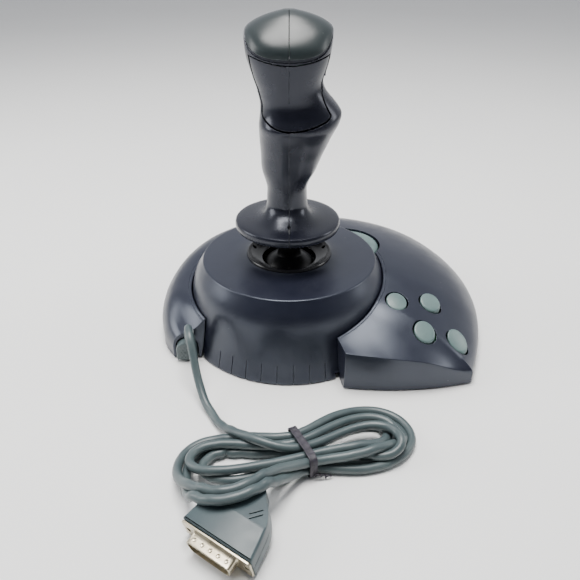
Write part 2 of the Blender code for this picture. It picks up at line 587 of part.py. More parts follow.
# ---- stick mechanism ----
def make_gimbal():
    z = PIVOT_HEIGHT

    def bore(name, radius, axis):
        return rod(name, radius, (-45, 45), (0, 0, z), axis=axis, collection=CUTTERS, sides=14)

    frame = box("gimbal_frame", (60.0, 62.0, 10.0), (0, 0, z - 1.5), ACETAL)
    legs = [rod(f"frame_leg_{i + 1}", 3.2, (4.2, z - 2.0), (sx * 26.5, sy * 28.0, 0), collection=CUTTERS, sides=12)
            for i, (sx, sy) in enumerate(((1, 1), (-1, 1), (-1, -1), (1, -1)))]
    combine(frame, "DIFFERENCE", box("frame_window", (48.8, 54.0, 30.0), (0, 0, z), collection=CUTTERS),
            bore("frame_pin_bore", 1.95, "X"))
    combine(frame, "UNION", *legs)
    yoke = box("pitch_yoke", (42.0, 34.0, 6.4), (0, 0, z), ACETAL)
    combine(yoke, "DIFFERENCE", box("yoke_window", (28.0, 24.0, 30.0), (0, 0, z), collection=CUTTERS),
            bore("yoke_pin_bore", 1.95, "X"), bore("yoke_roll_bore", 1.95, "Y"))
    for side, name in ((-1, "left"), (1, "right")):
        rod(f"pitch_pin_{name}", 1.6, sorted((side * 15.0, side * 29.8)), (0, 0, z), STEEL, axis="X", sides=12)
    for side, name in ((1, "front"), (-1, "back")):
        rod(f"roll_pin_{name}", 1.6, sorted((side * 7.0, side * 17.2)), (0, 0, z), STEEL, axis="Y", sides=12)
    rod("pitch_potentiometer", 6.5, (30.4, 37.0), (0, 0, z), POT_BLUE, axis="X", sides=18)
    rod("roll_potentiometer", 4.6, (17.6, 22.4), (0, 0, z), POT_BLUE, axis="Y", sides=18)
    block = box("roll_block", (20.0, 19.0, 11.0), (0, 0, z), ACETAL)
    combine(block, "DIFFERENCE", bore("block_pin_bore", 1.95, "Y"),
            rod("block_shaft_bore", SHAFT_RADIUS + GAP, (-1.0, 20.0), (0, 0, z), collection=CUTTERS, sides=20))
    for name, radius, wire, turns, start, along_x in (("pitch_return_spring", 3.6, 0.9, 4, -36.8, True),
                                                      ("roll_return_spring", 3.4, 0.8, 3, -21.8, False)):
        points = []
        for k in range(turns * 8 + 1):
            across, up = ray(45 * k, radius)
            reach = start + k / 8 * (wire + 0.5)
            points.append((reach, across, z + up) if along_x else (across, reach, z + up))
        tube(name, points, wire, STEEL, sides=1)
    rod("stick_shaft", SHAFT_RADIUS, (0.3, SHAFT_TOP - z), (0, 0, z), STEEL, sides=20)
    polar = [math.radians(20 + 46 * k / 5) for k in range(6)]
    skin = [(DOME_RADIUS * math.sin(a), z + DOME_RADIUS * math.cos(a)) for a in polar]
    lining = [((DOME_RADIUS - 1.3) * math.sin(a), z + (DOME_RADIUS - 1.3) * math.cos(a)) for a in reversed(polar)]
    collar = [(SHAFT_RADIUS + GAP, 71.0), (COLLAR_RADIUS - 0.6, 71.0), (COLLAR_RADIUS, 70.2)]
    turned("dust_dome", collar + skin + lining + [(SHAFT_RADIUS + GAP, lining[-1][1])], BLACK_RUBBER, steps=22)
    turned("twist_bush", [(7.6, 96.0), (7.6, 76.0), (SHAFT_RADIUS + 0.3, 76.0), (SHAFT_RADIUS + 0.3, 96.0)], ACETAL,
           steps=24)
    rod("twist_potentiometer", 6.0, (SHAFT_TOP + 0.4, SHAFT_TOP + 5.4), (0, 0, 0), POT_BLUE, sides=18)


# ---- grip ----
def grip_ring(row, inwards=0.0, points=24):
    """A section of the grip: a superellipse with its own reach on each of four sides."""
    z, right, left, front, back, square = row
    middle, half = (front - back) / 2, (front + back) / 2 - inwards
    ring = []
    for k in range(points):
        c, s = ray(360 * (k + 0.5) / points, 1.0)
        x = math.copysign(abs(c) ** (2 / square), c) * ((right if c > 0 else left) - inwards)
        ring.append((x, middle + math.copysign(abs(s) ** (2 / square), s) * half, z))
    return ring


def duplicate(source, name):
    made = source.copy()
    made.data = source.data.copy()
    made.name = made.data.name = name
    PARTS.objects.link(made)
    return made


def crease_box(name, lift):
    """A large box whose lower face is the crease between the cap and the halves, raised a little."""
    made = box(name, (90.0, 90.0, 60.0), (0, 0, CAP_CREASE + lift), collection=CUTTERS)
    made.data.transform(Matrix.Translation(spot(0, 0, 30.0)))
    made.data.transform(Matrix.Rotation(math.atan(CAP_SLOPE), 4, "X"))
    return made


def side_box(name, side):
    return box(name, (100.0, 120.0, 300.0), (side * (50.0 + GAP / 2), 0, 140.0), collection=CUTTERS)


def front_prism(name, outline, low, high, collection=None, finish=None):
    """An outline in X and Z, extruded between two places along Y."""
    return prism(name, outline, -high, -low, finish, collection=collection, turn=Matrix.Rotation(math.pi / 2, 4, "X"))


def make_grip():
    body = loft("grip_body", [grip_ring(row) for row in GRIP_SECTIONS], CHARCOAL)
    trigger = duplicate(body, "trigger")
    disc = turned("hand_disc", [
        (0.0, 90.0), (13.4, 90.0), (16.0, 86.6), (19.5, 84.2), (25.0, 82.8), (32.6, 81.6), (DISC_RADIUS, 79.4),
        (33.4, 75.8), (32.0, 75.2), (22.0, 75.4), (12.0, 74.2), (11.0, 73.0), (0.0, 73.0)],
        CHARCOAL, (1.0, 0, 0), steps=36)
    rows = [row for row in GRIP_SECTIONS if 98.0 <= row[0] <= 196.0]
    rows = [row for i, row in enumerate(rows) if i % 2 == 0 or i == len(rows) - 1]
    combine(body, "UNION", disc)
    combine(body, "DIFFERENCE", loft("grip_cavity", [grip_ring(row, GRIP_WALL + 0.3, 16) for row in rows], None,
                                     collection=CUTTERS),
            rod("grip_bore", BORE_RADIUS, (60.0, 110.0), (0, 0, 0), collection=CUTTERS, sides=28),
            rod("disc_pin_hole", 1.1, (78.5, 95.0), (0.0, 20.9, 0), collection=CUTTERS, sides=12))
    cap = duplicate(body, "grip_cap")
    cap.data.materials[0] = CAP_GREY
    combine(cap, "INTERSECT", crease_box("above_cap_crease", GAP / 2))
    combine(body, "DIFFERENCE", crease_box("above_shell_crease", -GAP / 2))

    opening = inset(TRIGGER_OUTLINE, -TRIGGER_GAP)
    opening = [(x, z - 0.5 if z < 150.0 else z) for x, z in opening]
    y_hat, z_hat = HAT_PIVOT
    cutters = [front_prism("trigger_opening", opening, 6.8, 40.0, CUTTERS),
               rod("hat_hole", 4.6, (-60.0, 0.0), (0, 0, z_hat), axis="Y", collection=CUTTERS, sides=20)]
    for i, (x, z) in enumerate(THUMB_BUTTONS):
        cutters.append(rod(f"thumb_hole_{i + 1}", THUMB_RADIUS + GAP, (-60.0, -6.0), (x, 0, z), axis="Y",
                           collection=CUTTERS, sides=18))
    combine(body, "DIFFERENCE", *cutters)
    y_pin, z_pin = TRIGGER_PIVOT
    for side, name in ((1, "right"), (-1, "left")):
        half = duplicate(body, f"grip_{name}_shell")
        combine(half, "INTERSECT", side_box(f"{name}_side", side))
        added = [box(f"{name}_bracket", (11.4, 6.0, 6.0), (side * 14.7, 5.0, z_pin), collection=CUTTERS),
                 box(f"{name}_lug", (3.0, 13.5, 6.4), (side * 9.0, 9.0, z_pin + 0.2), collection=CUTTERS)]
        bored = [rod(f"{name}_lug_bore", 1.55, (-14.0, 14.0), (0, y_pin, z_pin), axis="X", collection=CUTTERS, sides=12)]
        for k, (y, z, reach) in enumerate(GRIP_SCREWS):
            inner = side * (GAP / 2 + 0.1)
            added.append(rod(f"{name}_boss_{k + 1}", 4.4 if side > 0 else 3.6, sorted((inner, side * reach[side])),
                             (0, y, z), axis="X", collection=CUTTERS, sides=14))
            bored.append(rod(f"{name}_boss_bore_{k + 1}", 1.85, sorted((-side, side * 10.0)), (0, y, z), axis="X",
                             collection=CUTTERS, sides=12))
            if side > 0:
                bored.append(rod(f"screw_head_recess_{k + 1}", 3.0, (9.0, 40.0), (0, y, z), axis="X",
                                 collection=CUTTERS, sides=16))
        combine(half, "UNION", *added)
        combine(half, "DIFFERENCE", *bored)
    bpy.data.objects.remove(body)
    for k, (y, z, _) in enumerate(GRIP_SCREWS):
        turned(f"grip_screw_{k + 1}", [(0.0, 11.6), (2.6, 11.6), (2.6, 9.4), (1.45, 9.4), (1.45, -8.6), (0.0, -8.6)],
               STEEL, (0, y, z), steps=12, axis="X")

    combine(trigger, "INTERSECT", front_prism("trigger_shape", TRIGGER_OUTLINE, 10.5, 40.0, CUTTERS))
    rows = [row for row in GRIP_SECTIONS if row[0] >= 129.0]
    combine(trigger, "DIFFERENCE", loft("trigger_inside", [grip_ring(row, TRIGGER_THICKNESS) for row in rows[:-2]],
                                        None, collection=CUTTERS))
    combine(trigger, "UNION", box("trigger_rib", (7.0, 10.0, 8.0), (0, y_pin + 1.6, z_pin), collection=CUTTERS))
    combine(trigger, "DIFFERENCE", rod("trigger_bore", 1.55, (-14.0, 14.0), (0, y_pin, z_pin), axis="X",
                                       collection=CUTTERS, sides=12))
    rod("trigger_pin", 1.2, (-10.6, 10.6), (0, y_pin, z_pin), STEEL, axis="X", sides=12)
    box("trigger_switch", (8.0, 5.0, 9.0), (0, 9.8, 152.0), BOARD)
    make_thumb_controls()


def make_thumb_controls():
    y, z = HAT_PIVOT
    turned("hat_switch", [(0.0, 5.0), (1.5, 5.0), (2.2, 4.3), (2.2, -9.8), (HAT_RADIUS, -9.8), (HAT_RADIUS, -11.0),
                          (4.6, -11.8), (0.0, -11.4)], GREEN_GREY, (0, y, z), steps=24, axis="Y")
    turned("hat_pivot_ring", [(6.0, 1.5), (6.0, -1.5), (2.9, -1.5), (2.9, 1.5)], ACETAL, (0, y, z), steps=20,
           axis="Y")
    turned("hat_seat", [(8.0, 7.2), (8.0, -1.8), (6.6, -1.8), (6.6, 7.2)], ACETAL, (0, y, z), steps=20, axis="Y")
    board = box("grip_circuit_board", (26.0, 1.6, 30.0), (0, -9.0, 171.0), BOARD)
    switches = []
    for i, (x, z_button) in enumerate(THUMB_BUTTONS):
        edge = thumb_face(z_button, x)
        turned(f"thumb_button_{i + 1}", [
            (0.0, 0.0), (2.2, 0.0), (2.2, -6.0), (THUMB_RADIUS, -6.0), (THUMB_RADIUS, 0.6 - edge),
            (THUMB_RADIUS - 0.6, -edge), (0.0, -edge)], GREEN_GREY, (x, -13.7, z_button), steps=18, axis="Y")
        switches.append(box(f"thumb_switch_{i + 1}", (5.0, 3.0, 5.0), (x, -10.5, z_button), collection=CUTTERS))
    combine(board, "UNION", *switches)


def thumb_face(height, x):
    """How far a thumb button reaches back from its inner end, to stand a little proud of the grip."""
    rows = [(row[0], row[4]) for row in GRIP_SECTIONS]
    return station(rows, height, 1) + 1.8 - 13.7 - (3.0 if x else 0.0)


# ---- cord ----
def make_cord():
    tube("cord_lead", smooth_line(LEAD_ROUTE, 9.0), CORD_DIAMETER, CORD_GREY, sides=3)
    hank = prism("cord_hank", smooth_loop(HANK_OUTLINE, 3), HANK_BOTTOM, HANK_TOP, CORD_GREY)
    turn = Matrix.Rotation(math.radians(TIE_TURN_DEG), 4, "Z")
    across, high = TIE_INSIDE

    def tie_box(name, width, grow, collection=CUTTERS, finish=None):
        return box(name, (width, across + 2 * grow, high + 2 * grow), TIE_CENTRE, finish, collection, turn=turn)

    tie = tie_box("cable_tie", TIE_WIDTH, TIE_THICKNESS, None, BLACK_RUBBER)
    combine(tie, "DIFFERENCE", tie_box("tie_window", 3 * TIE_WIDTH, 0.0))
    groove = tie_box("tie_groove", TIE_WIDTH + 2 * GAP, 9.0)
    combine(groove, "DIFFERENCE", tie_box("tie_core", 3 * TIE_WIDTH, -GAP))

    heading = Matrix.Rotation(math.radians(PLUG_HEADING_DEG), 4, "Z")
    x, y, z = PLUG_CENTRE
    outline = HOOD_OUTLINE + [(u, -w) for u, w in reversed(HOOD_OUTLINE)]
    prism("plug_hood", outline, HOOD_BOTTOM, HOOD_TOP, CORD_GREY, (x, y, 0), turn=heading)
    room = prism("hood_room", inset(outline, -0.6), -5.0, 30.0, None, (x, y, 0), CUTTERS, turn=heading)
    combine(hank, "DIFFERENCE", groove, room)

    def plug_box(name, low, high, width, height, collection=CUTTERS, finish=None):
        mesh_turn = heading @ Matrix.Translation(spot((low + high) / 2, 0, 0))
        return box(name, (high - low, width, height), (x, y, z), finish, collection, turn=mesh_turn)

    shell = plug_box("plug_shell", GAP, GAP + 0.8, *FLANGE_SIZE, None, NICKEL)
    width, height = SHROUD_SIZE
    combine(shell, "UNION", plug_box("shroud", GAP + 0.2, SHROUD_REACH, width, height))
    holes = [plug_box("shroud_room", -2.0, 12.0, width - 1.2, height - 1.2)]
    for side in (-1, 1):
        turn = heading @ Matrix.Translation(spot(0, side * FLANGE_HOLES / 2, 0)) @ AXIS_TURN["X"]
        holes.append(rod(f"flange_hole_{side}", 1.6, (-4.0, 4.0), (x, y, z), collection=CUTTERS, sides=12, turn=turn))
    combine(shell, "DIFFERENCE", *holes)
    insert = plug_box("plug_pin_insert", 0.45, 2.6, width - 2.0, height - 2.0, None, GLOSS_BLACK)
    pins = []
    for row, count in ((1, 8), (-1, 7)):
        for k in range(count):
            place = spot(0, (k - (count - 1) / 2) * PIN_PITCH, row * PIN_ROW_GAP / 2)
            turn = heading @ Matrix.Translation(place) @ AXIS_TURN["X"]
            pins.append(rod(f"plug_pin_{row}_{k}", 0.5, (2.0, SHROUD_REACH - 1.0), (x, y, z), collection=CUTTERS,
                            sides=6, turn=turn))
    combine(insert, "UNION", *pins)


def main():
    points = casing_outline()
    make_hub()
    make_casing(points)
    make_bottom(points)
    make_buttons()
    make_throttle()
    make_gimbal()
    make_grip()
    make_cord()
    xs, ys = [p[0] for p in points], [p[1] for p in points]
    ROOT.location = spot(-(min(xs) + max(xs)) / 2, -(min(ys) + max(ys)) / 2, 0)


main()
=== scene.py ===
"""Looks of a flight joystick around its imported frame.

Shapes are drawn in millimetres in the stick's own frame (the stick's axis is X = Y = 0, the desk is Z = 0,
+Y points away from the user and +X to the user's right) and moved to the frame's metres as they are finished.
"""

import json
import math

import bmesh
import bpy
import numpy as np
from mathutils import Matrix, Vector
from mathutils.kdtree import KDTree


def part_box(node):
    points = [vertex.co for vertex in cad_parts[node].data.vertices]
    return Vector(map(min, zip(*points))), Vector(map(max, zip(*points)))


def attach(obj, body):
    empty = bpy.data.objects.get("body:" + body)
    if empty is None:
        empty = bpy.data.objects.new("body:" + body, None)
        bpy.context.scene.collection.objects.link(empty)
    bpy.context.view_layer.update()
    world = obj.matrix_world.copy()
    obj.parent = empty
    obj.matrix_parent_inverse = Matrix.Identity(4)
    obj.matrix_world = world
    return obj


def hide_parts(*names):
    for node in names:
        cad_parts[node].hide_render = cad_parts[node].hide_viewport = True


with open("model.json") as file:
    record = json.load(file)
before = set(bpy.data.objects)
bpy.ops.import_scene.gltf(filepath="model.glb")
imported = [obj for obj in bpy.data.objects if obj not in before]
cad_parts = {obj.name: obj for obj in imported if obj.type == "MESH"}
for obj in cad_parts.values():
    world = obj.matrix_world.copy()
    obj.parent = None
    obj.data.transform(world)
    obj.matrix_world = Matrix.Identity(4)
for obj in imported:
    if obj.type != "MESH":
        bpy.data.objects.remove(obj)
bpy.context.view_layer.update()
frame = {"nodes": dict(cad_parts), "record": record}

MM = 0.001
shaft_low, shaft_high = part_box("stick_shaft")
AXIS = ((shaft_low.x + shaft_high.x) / 2, (shaft_low.y + shaft_high.y) / 2)
TO_WORLD = Matrix.Translation((AXIS[0], AXIS[1], 0.0)) @ Matrix.Scale(MM, 4)
GAP = 0.35

# ---- sizes shared with the frame, millimetres ----
PLATE_TOP = 53.5
SKIRT_RADIUS, HUB_BOTTOM, HUB_WALL = 72.2, 1.0, 2.5
HUB_PROFILE = [(58.0, 52.7), (60.3, 49.0), (62.8, 44.5), (64.6, 40.0), (65.8, 35.0), (66.9, 28.0),
               (68.4, 18.0),
               (70.3, 8.0), (72.2, 1.0)]
CASING_WALL, CASING_BOTTOM, CASING_SEAM = 2.3, 1.0, 0.9
WING_FRONT = [(-33.5, 74.8), (-70.0, 76.6), (-113.0, 70.0)]
CASING_SIDE = [
    (-113.0, 70.0), (-119.5, 54.0), (-125.5, 37.0), (-130.0, 20.0), (-132.8, 3.0), (-133.6, -14.0),
    (-132.2, -31.0), (-128.2, -48.0), (-121.5, -65.0), (-111.5, -82.0), (-97.5, -97.0), (-80.0, -108.0),
    (-60.0, -115.0), (-39.0, -118.0), (-17.0, -117.0), (4.0, -113.5), (25.0, -107.0), (44.0, -98.0),
    (60.0, -85.0), (72.5, -68.5), (81.0, -50.0), (86.5, -31.0), (89.2, -12.0), (89.0, 6.0),
    (86.5, 21.0), (82.0, 34.0), (75.5, 44.5),
]
# By angle round the hub: height at the hub, height of the outer edge, bend, round.
CASING_STATIONS = [
    (114.0, 29.3, 27.5, 1.10, 1.00), (126.0, 32.4, 25.5, 1.20, 1.00), (137.5, 35.9, 21.0, 1.35, 0.95),
    (148.2, 39.6, 9.5, 1.55, 0.80), (163.0, 43.0, 9.0, 1.60, 0.75), (172.5, 45.3, 9.5, 1.65, 0.72),
    (190.0, 47.2, 10.0, 1.75, 0.68), (210.0, 48.0, 10.0, 1.80, 0.65), (240.0, 47.5, 9.0, 1.90, 0.62),
    (270.0, 45.5, 9.0, 2.00, 0.60), (300.0, 43.5, 9.0, 2.10, 0.58), (330.0, 40.0, 9.0, 2.20, 0.55),
    (350.0, 36.0, 9.0, 2.30, 0.52), (365.0, 33.5, 9.0, 2.40, 0.50), (386.0, 31.8, 10.0, 2.40, 0.50),
    (398.0, 29.6, 11.0, 2.40, 0.50),
]
WING_END_DEG, LOBE_END_DEG = 115.6, 397.6
# The casing's two ends are solid over this angle.
FILLED_DEG = 2.2
LOBE_END = [(0.0, 29.6), (0.12, 26.4), (0.28, 22.2), (0.44, 19.6), (0.6, 18.6), (0.76, 17.9), (0.88, 16.0),
            (0.95, 13.6), (1.0, 11.0)]
BASE_BUTTONS = [
    ((-68.6, 35.2), 38.6, (0.10, -0.38)), ((-91.2, 31.6), 35.6, (0.20, -0.40)),
    ((-83.6, 55.6), 29.8, (0.16, -0.52)), ((-105.2, 55.0), 22.2, (0.46, -0.60)),
]
BUTTON_RADIUS, BUTTON_WELL = 6.55, 7.65
WHEEL_CENTRE = (-41.2, -28.5)
WHEEL_RADIUS, WHEEL_NOTCH = 23.3, 24.2
WHEEL_BOTTOM, WHEEL_TOP = 39.2, 47.4
GRIP_SECTIONS = [
    (92.0, 14.2, 11.7, 13.5, 14.5, 2.2),
    (97.0, 14.1, 11.4, 13.5, 14.5, 2.2), (103.0, 13.9, 11.3, 14.0, 15.0, 2.2),
    (108.0, 15.1, 12.9, 15.0, 16.5, 2.2), (114.0, 16.8, 16.3, 16.4, 18.5, 2.3),
    (119.0, 17.3, 18.4, 17.5, 20.0, 2.3), (124.5, 17.4, 20.7, 18.6, 21.5, 2.3),
    (129.5, 17.7, 23.0, 19.8, 22.5, 2.3), (134.5, 18.0, 25.2, 21.0, 23.0, 2.3),
    (139.0, 18.0, 27.4, 22.6, 23.0, 2.3), (142.5, 18.0, 29.2, 23.8, 22.8, 2.3),
    (146.0, 17.6, 30.6, 22.4, 22.2, 2.3), (149.0, 17.2, 31.0, 20.6, 21.6, 2.3),
    (152.5, 17.0, 29.0, 19.6, 21.2, 2.3), (156.0, 17.2, 26.0, 19.0, 21.0, 2.3),
    (160.0, 18.0, 22.4, 19.2, 21.2, 2.4), (164.0, 19.0, 20.2, 19.8, 21.8, 2.4),
    (168.0, 20.3, 19.6, 20.6, 22.6, 2.5), (174.0, 22.2, 21.5, 21.6, 24.0, 2.6),
    (180.0, 24.1, 23.0, 22.4, 25.0, 2.7), (186.0, 25.0, 24.0, 21.6, 24.6, 2.7),
    (191.0, 25.2, 24.5, 17.5, 22.5, 2.6), (195.0, 24.0, 24.0, 12.5, 20.0, 2.4),
    (198.5, 18.5, 19.0, 7.5, 17.0, 2.2), (201.3, 11.0, 11.5, 3.0, 14.0, 2.1),
    (203.2, 3.5, 3.5, -2.0, 9.0, 2.0),
]
# The hand rest's disc, from its bore outwards: height and radius on the right. The radius is 2 mm less on
# the left and 1 mm less at the front and back. The rows above it lead up into the grip, in its columns.
REST_DISC = [(73.3, 9.2), (73.0, 12.0), (74.2, 13.4), (75.1, 17.0), (75.4, 23.0), (75.2, 32.0), (75.4, 33.6),
             (76.1, 34.5), (77.2, 34.95), (79.0, 35.0), (80.2, 34.8), (80.9, 34.3), (81.3, 33.4)]
REST_ROWS = [(z, radius, radius - 2.0, radius - 1.0, radius - 1.0, 2.0) for z, radius in REST_DISC] + [
    (81.7, 31.0, 29.0, 30.6, 30.0, 2.0), (82.1, 26.5, 24.6, 28.6, 26.0, 2.0),
    (82.6, 22.6, 20.8, 26.6, 22.4, 2.05), (83.4, 19.8, 17.8, 24.6, 19.8, 2.1),
    (84.6, 17.7, 15.6, 22.4, 18.0, 2.2), (86.2, 16.2, 14.0, 19.4, 16.7, 2.3),
    (88.2, 15.2, 12.8, 16.4, 15.7, 2.3), (90.2, 14.6, 12.1, 14.6, 15.0, 2.2),
]
CAP_CREASE, CAP_SLOPE = 194.3, -0.57
TRIGGER_TOP = [(-22.0, 182.2), (-11.0, 179.5), (0.0, 178.2), (11.0, 179.5), (21.6, 182.2)]
TRIGGER_SIDE = [(21.6, 182.2), (19.8, 172.0), (16.8, 161.5), (15.6, 151.5), (12.2, 147.6), (5.4, 144.8),
                (-3.0, 144.2), (-11.8, 145.4), (-21.0, 148.2), (-23.4, 150.4)]
TRIGGER_SHELF = [(-23.4, 150.4), (-20.8, 154.8), (-18.6, 160.0), (-18.2, 164.0), (-20.2, 172.0),
                 (-22.0, 182.2)]
TRIGGER_PIVOT = (13.5, 174.0)
# How far in front of the axis the trigger's opening and the trigger itself begin.
OPENING_BACK, TRIGGER_BACK = 6.8, 10.5
TRIGGER_BORE = 1.55
HAT_PIVOT, HAT_RADIUS = (-17.5, 178.0), 6.5
THUMB_BUTTONS = [(-13.0, 173.0), (13.0, 173.0), (0.0, 161.5)]
THUMB_RADIUS, THUMB_DEPTH = 3.8, 13.7
GRIP_SCREWS = [(1.6, 135.0, {1: 17.2, -1: 24.0}), (1.0, 165.0, {1: 18.2, -1: 18.8})]

CORD = 5.0
LEAD_ROUTE = [
    (63.3, 47.6, 15.8), (63.4, 47.7, 18.5), (63.6, 47.7, 21.5), (63.5, 48.6, 25.7), (63.0, 51.3, 29.2),
    (62.4, 54.3, 30.9), (61.6, 57.7, 31.5), (60.7, 61.1, 30.9), (59.8, 64.1, 29.2), (58.9, 67.0, 26.1),
    (57.9, 70.0, 22.4), (56.6, 73.8, 18.0), (55.2, 77.8, 13.9), (53.3, 82.5, 10.0), (50.9, 88.0, 6.6),
    (48.4, 93.0, 4.3), (44.8, 98.5, 3.0), (41.1, 104.9, 2.8), (37.2, 109.8, 2.8), (33.2, 114.6, 2.8),
]
TIE_CENTRE, TIE_TURN_DEG = (-7.0, 131.3, 7.25), 24.8
TIE_INSIDE, TIE_WIDTH, TIE_THICKNESS = (26.4, 12.2), 4.6, 0.9
PLUG_CENTRE, PLUG_HEADING_DEG = (30.5, 186.0, 7.9), 55.5
HOOD_OUTLINE = [(0.0, 19.7), (-12.8, 17.4), (-18.0, 15.9), (-23.0, 12.4), (-28.0, 6.8), (-32.0, 4.6)]
FLANGE_SIZE, FLANGE_HOLES = (39.2, 12.5), 33.3
SHROUD_SIZE, SHROUD_REACH = (25.2, 8.4), 7.0
PIN_PITCH, PIN_ROW_GAP = 2.76, 2.84


# ---- materials ----
def surface(name, colour, second, rough, worn=None, metallic=0.0, grain=0.12, grain_mm=0.35, edge_mm=0.35,
            patch_mm=24.0, flecks=0.0, specular=0.5, tint=(1.0, 1.0, 1.0), streak=None):
    """A procedural finish: patchy colour, fine moulded grain, uneven gloss and paler edges."""
    made = bpy.data.materials.new(name)
    made.use_nodes = True
    nodes, links = made.node_tree.nodes, made.node_tree.links
    shader = nodes["Principled BSDF"]
    shader.inputs["Metallic"].default_value = metallic
    shader.inputs["Specular IOR Level"].default_value = specular
    shader.inputs["Specular Tint"].default_value = (*tint, 1.0)

    def node(kind, **settings):
        n = nodes.new(kind)
        for key, value in settings.items():
            setattr(n, key, value)
        return n

    def noise(scale, detail=3.0, stretch=None):
        place = node("ShaderNodeMapping")
        place.inputs["Scale"].default_value = stretch or (1, 1, 1)
        links.new(node("ShaderNodeTexCoord").outputs["Object"], place.inputs["Vector"])
        n = node("ShaderNodeTexNoise")
        n.inputs["Scale"].default_value = scale
        n.inputs["Detail"].default_value = detail
        links.new(place.outputs["Vector"], n.inputs["Vector"])
        return n.outputs["Fac"]

    def spread(source, low, high, to_low=0.0, to_high=1.0):
        n = node("ShaderNodeMapRange")
        for key, value in (("From Min", low), ("From Max", high), ("To Min", to_low), ("To Max", to_high)):
            n.inputs[key].default_value = value
        links.new(source, n.inputs["Value"])
        return n.outputs["Result"]

    def blend(factor, first, other):
        n = node("ShaderNodeMix", data_type="RGBA")
        links.new(factor, n.inputs[0])
        for socket, value in ((n.inputs[6], first), (n.inputs[7], other)):
            if isinstance(value, tuple):
                socket.default_value = (*value, 1.0)
            else:
                links.new(value, socket)
        return n.outputs[2]

    def times(a, b):
        n = node("ShaderNodeMath", operation="MULTIPLY")
        links.new(a, n.inputs[0])
        if isinstance(b, float):
            n.inputs[1].default_value = b
        else:
            links.new(b, n.inputs[1])
        return n.outputs[0]

    patches = noise(1000.0 / patch_mm, 4.0, streak)
    shade = blend(spread(patches, 0.32, 0.68), colour, second)
    soft = node("ShaderNodeBevel", samples=4)
    soft.inputs["Radius"].default_value = edge_mm * MM
    if worn:
        dot = node("ShaderNodeVectorMath", operation="DOT_PRODUCT")
        links.new(node("ShaderNodeNewGeometry").outputs["Normal"], dot.inputs[0])
        links.new(soft.outputs["Normal"], dot.inputs[1])
        rim = spread(dot.outputs["Value"], 0.995, 0.82)
        rubbed = times(rim, spread(noise(260.0), 0.35, 0.62, 0.15, 1.0))
        shade = blend(rubbed, shade, worn)
    if flecks:
        cells = node("ShaderNodeTexVoronoi")
        cells.inputs["Scale"].default_value = 190.0
        links.new(node("ShaderNodeTexCoord").outputs["Object"], cells.inputs["Vector"])
        dots = spread(cells.outputs["Distance"], 0.055, 0.03)
        sparse = spread(noise(75.0, 1.0), 0.56, 0.60)
        shade = blend(times(times(dots, sparse), flecks), shade, (0.35, 0.36, 0.36))
    links.new(shade, shader.inputs["Base Color"])
    gloss = noise(1000.0 / (patch_mm * 0.45), 5.0, streak)
    links.new(spread(gloss, 0.3, 0.7, rough - 0.035, rough + 0.04), shader.inputs["Roughness"])
    bump = node("ShaderNodeBump")
    bump.inputs["Strength"].default_value = grain
    bump.inputs["Distance"].default_value = 0.06 * MM
    links.new(noise(1000.0 / grain_mm, 2.0), bump.inputs["Height"])
    links.new(soft.outputs["Normal"], bump.inputs["Normal"])
    links.new(bump.outputs["Normal"], shader.inputs["Normal"])
    return made


SHELL = surface("shell_charcoal", (0.0075, 0.0085, 0.0175), (0.0110, 0.0125, 0.0230), 0.32,
                (0.080, 0.090, 0.120),
                grain=0.22, grain_mm=0.30, edge_mm=0.45, flecks=0.5, specular=0.72, tint=(0.78, 0.86, 1.0))
GRIP_SHELL = surface("grip_charcoal", (0.0065, 0.0072, 0.0130), (0.0095, 0.0105, 0.0175), 0.25,
                     (0.070, 0.076, 0.095), grain=0.12, grain_mm=0.30, edge_mm=0.4, flecks=0.25, specular=0.5,
                     tint=(0.84, 0.88, 1.0))
GLOSS = surface("ring_gloss_black", (0.008, 0.008, 0.010), (0.013, 0.013, 0.016), 0.17, (0.07, 0.07, 0.08),
                grain=0.04, edge_mm=0.3)
CAP = surface("cap_greenish_grey", (0.0190, 0.0265, 0.0290), (0.0260, 0.0345, 0.0365), 0.32,
              (0.09, 0.11, 0.11),
              grain=0.12, grain_mm=0.28, edge_mm=0.4, flecks=0.3, specular=0.4)
BUTTON = surface("button_green_grey", (0.095, 0.150, 0.150), (0.135, 0.200, 0.194), 0.33, (0.32, 0.42, 0.40),
                 grain=0.25, grain_mm=0.30, edge_mm=0.35, patch_mm=9.0, flecks=0.4)
VINYL = surface("cord_vinyl", (0.052, 0.074, 0.080), (0.080, 0.106, 0.110), 0.36, (0.16, 0.20, 0.20),
                grain=0.18, grain_mm=0.5, edge_mm=0.3, patch_mm=16.0)
HOOD_VINYL = surface("hood_vinyl", (0.036, 0.058, 0.068), (0.052, 0.080, 0.088), 0.38, (0.13, 0.17, 0.17),
                     grain=0.20, grain_mm=0.35, edge_mm=0.5, patch_mm=14.0)
RUBBER = surface("soft_black_rubber", (0.005, 0.005, 0.006), (0.009, 0.009, 0.010), 0.40, (0.04, 0.04, 0.045),
                 grain=0.4, grain_mm=0.5)
TIE = surface("tie_dark_weave", (0.013, 0.011, 0.018), (0.034, 0.029, 0.044), 0.55, (0.10, 0.09, 0.12),
              grain=0.9, grain_mm=0.9, patch_mm=1.6, edge_mm=0.2)
STEEL = surface("zinc_plated_steel", (0.46, 0.46, 0.44), (0.60, 0.60, 0.57), 0.33, (0.7, 0.7, 0.68), 1.0,
                grain=0.10, patch_mm=6.0, streak=(1, 1, 9))
NICKEL = surface("warm_nickel", (0.44, 0.385, 0.27), (0.58, 0.52, 0.39), 0.30, (0.74, 0.69, 0.57), 1.0,
                 grain=0.10, patch_mm=7.0, edge_mm=0.25)
ACETAL = surface("white_acetal_resin", (0.66, 0.64, 0.58), (0.74, 0.72, 0.66), 0.42, (0.8, 0.78, 0.72),
                 grain=0.10, patch_mm=12.0)
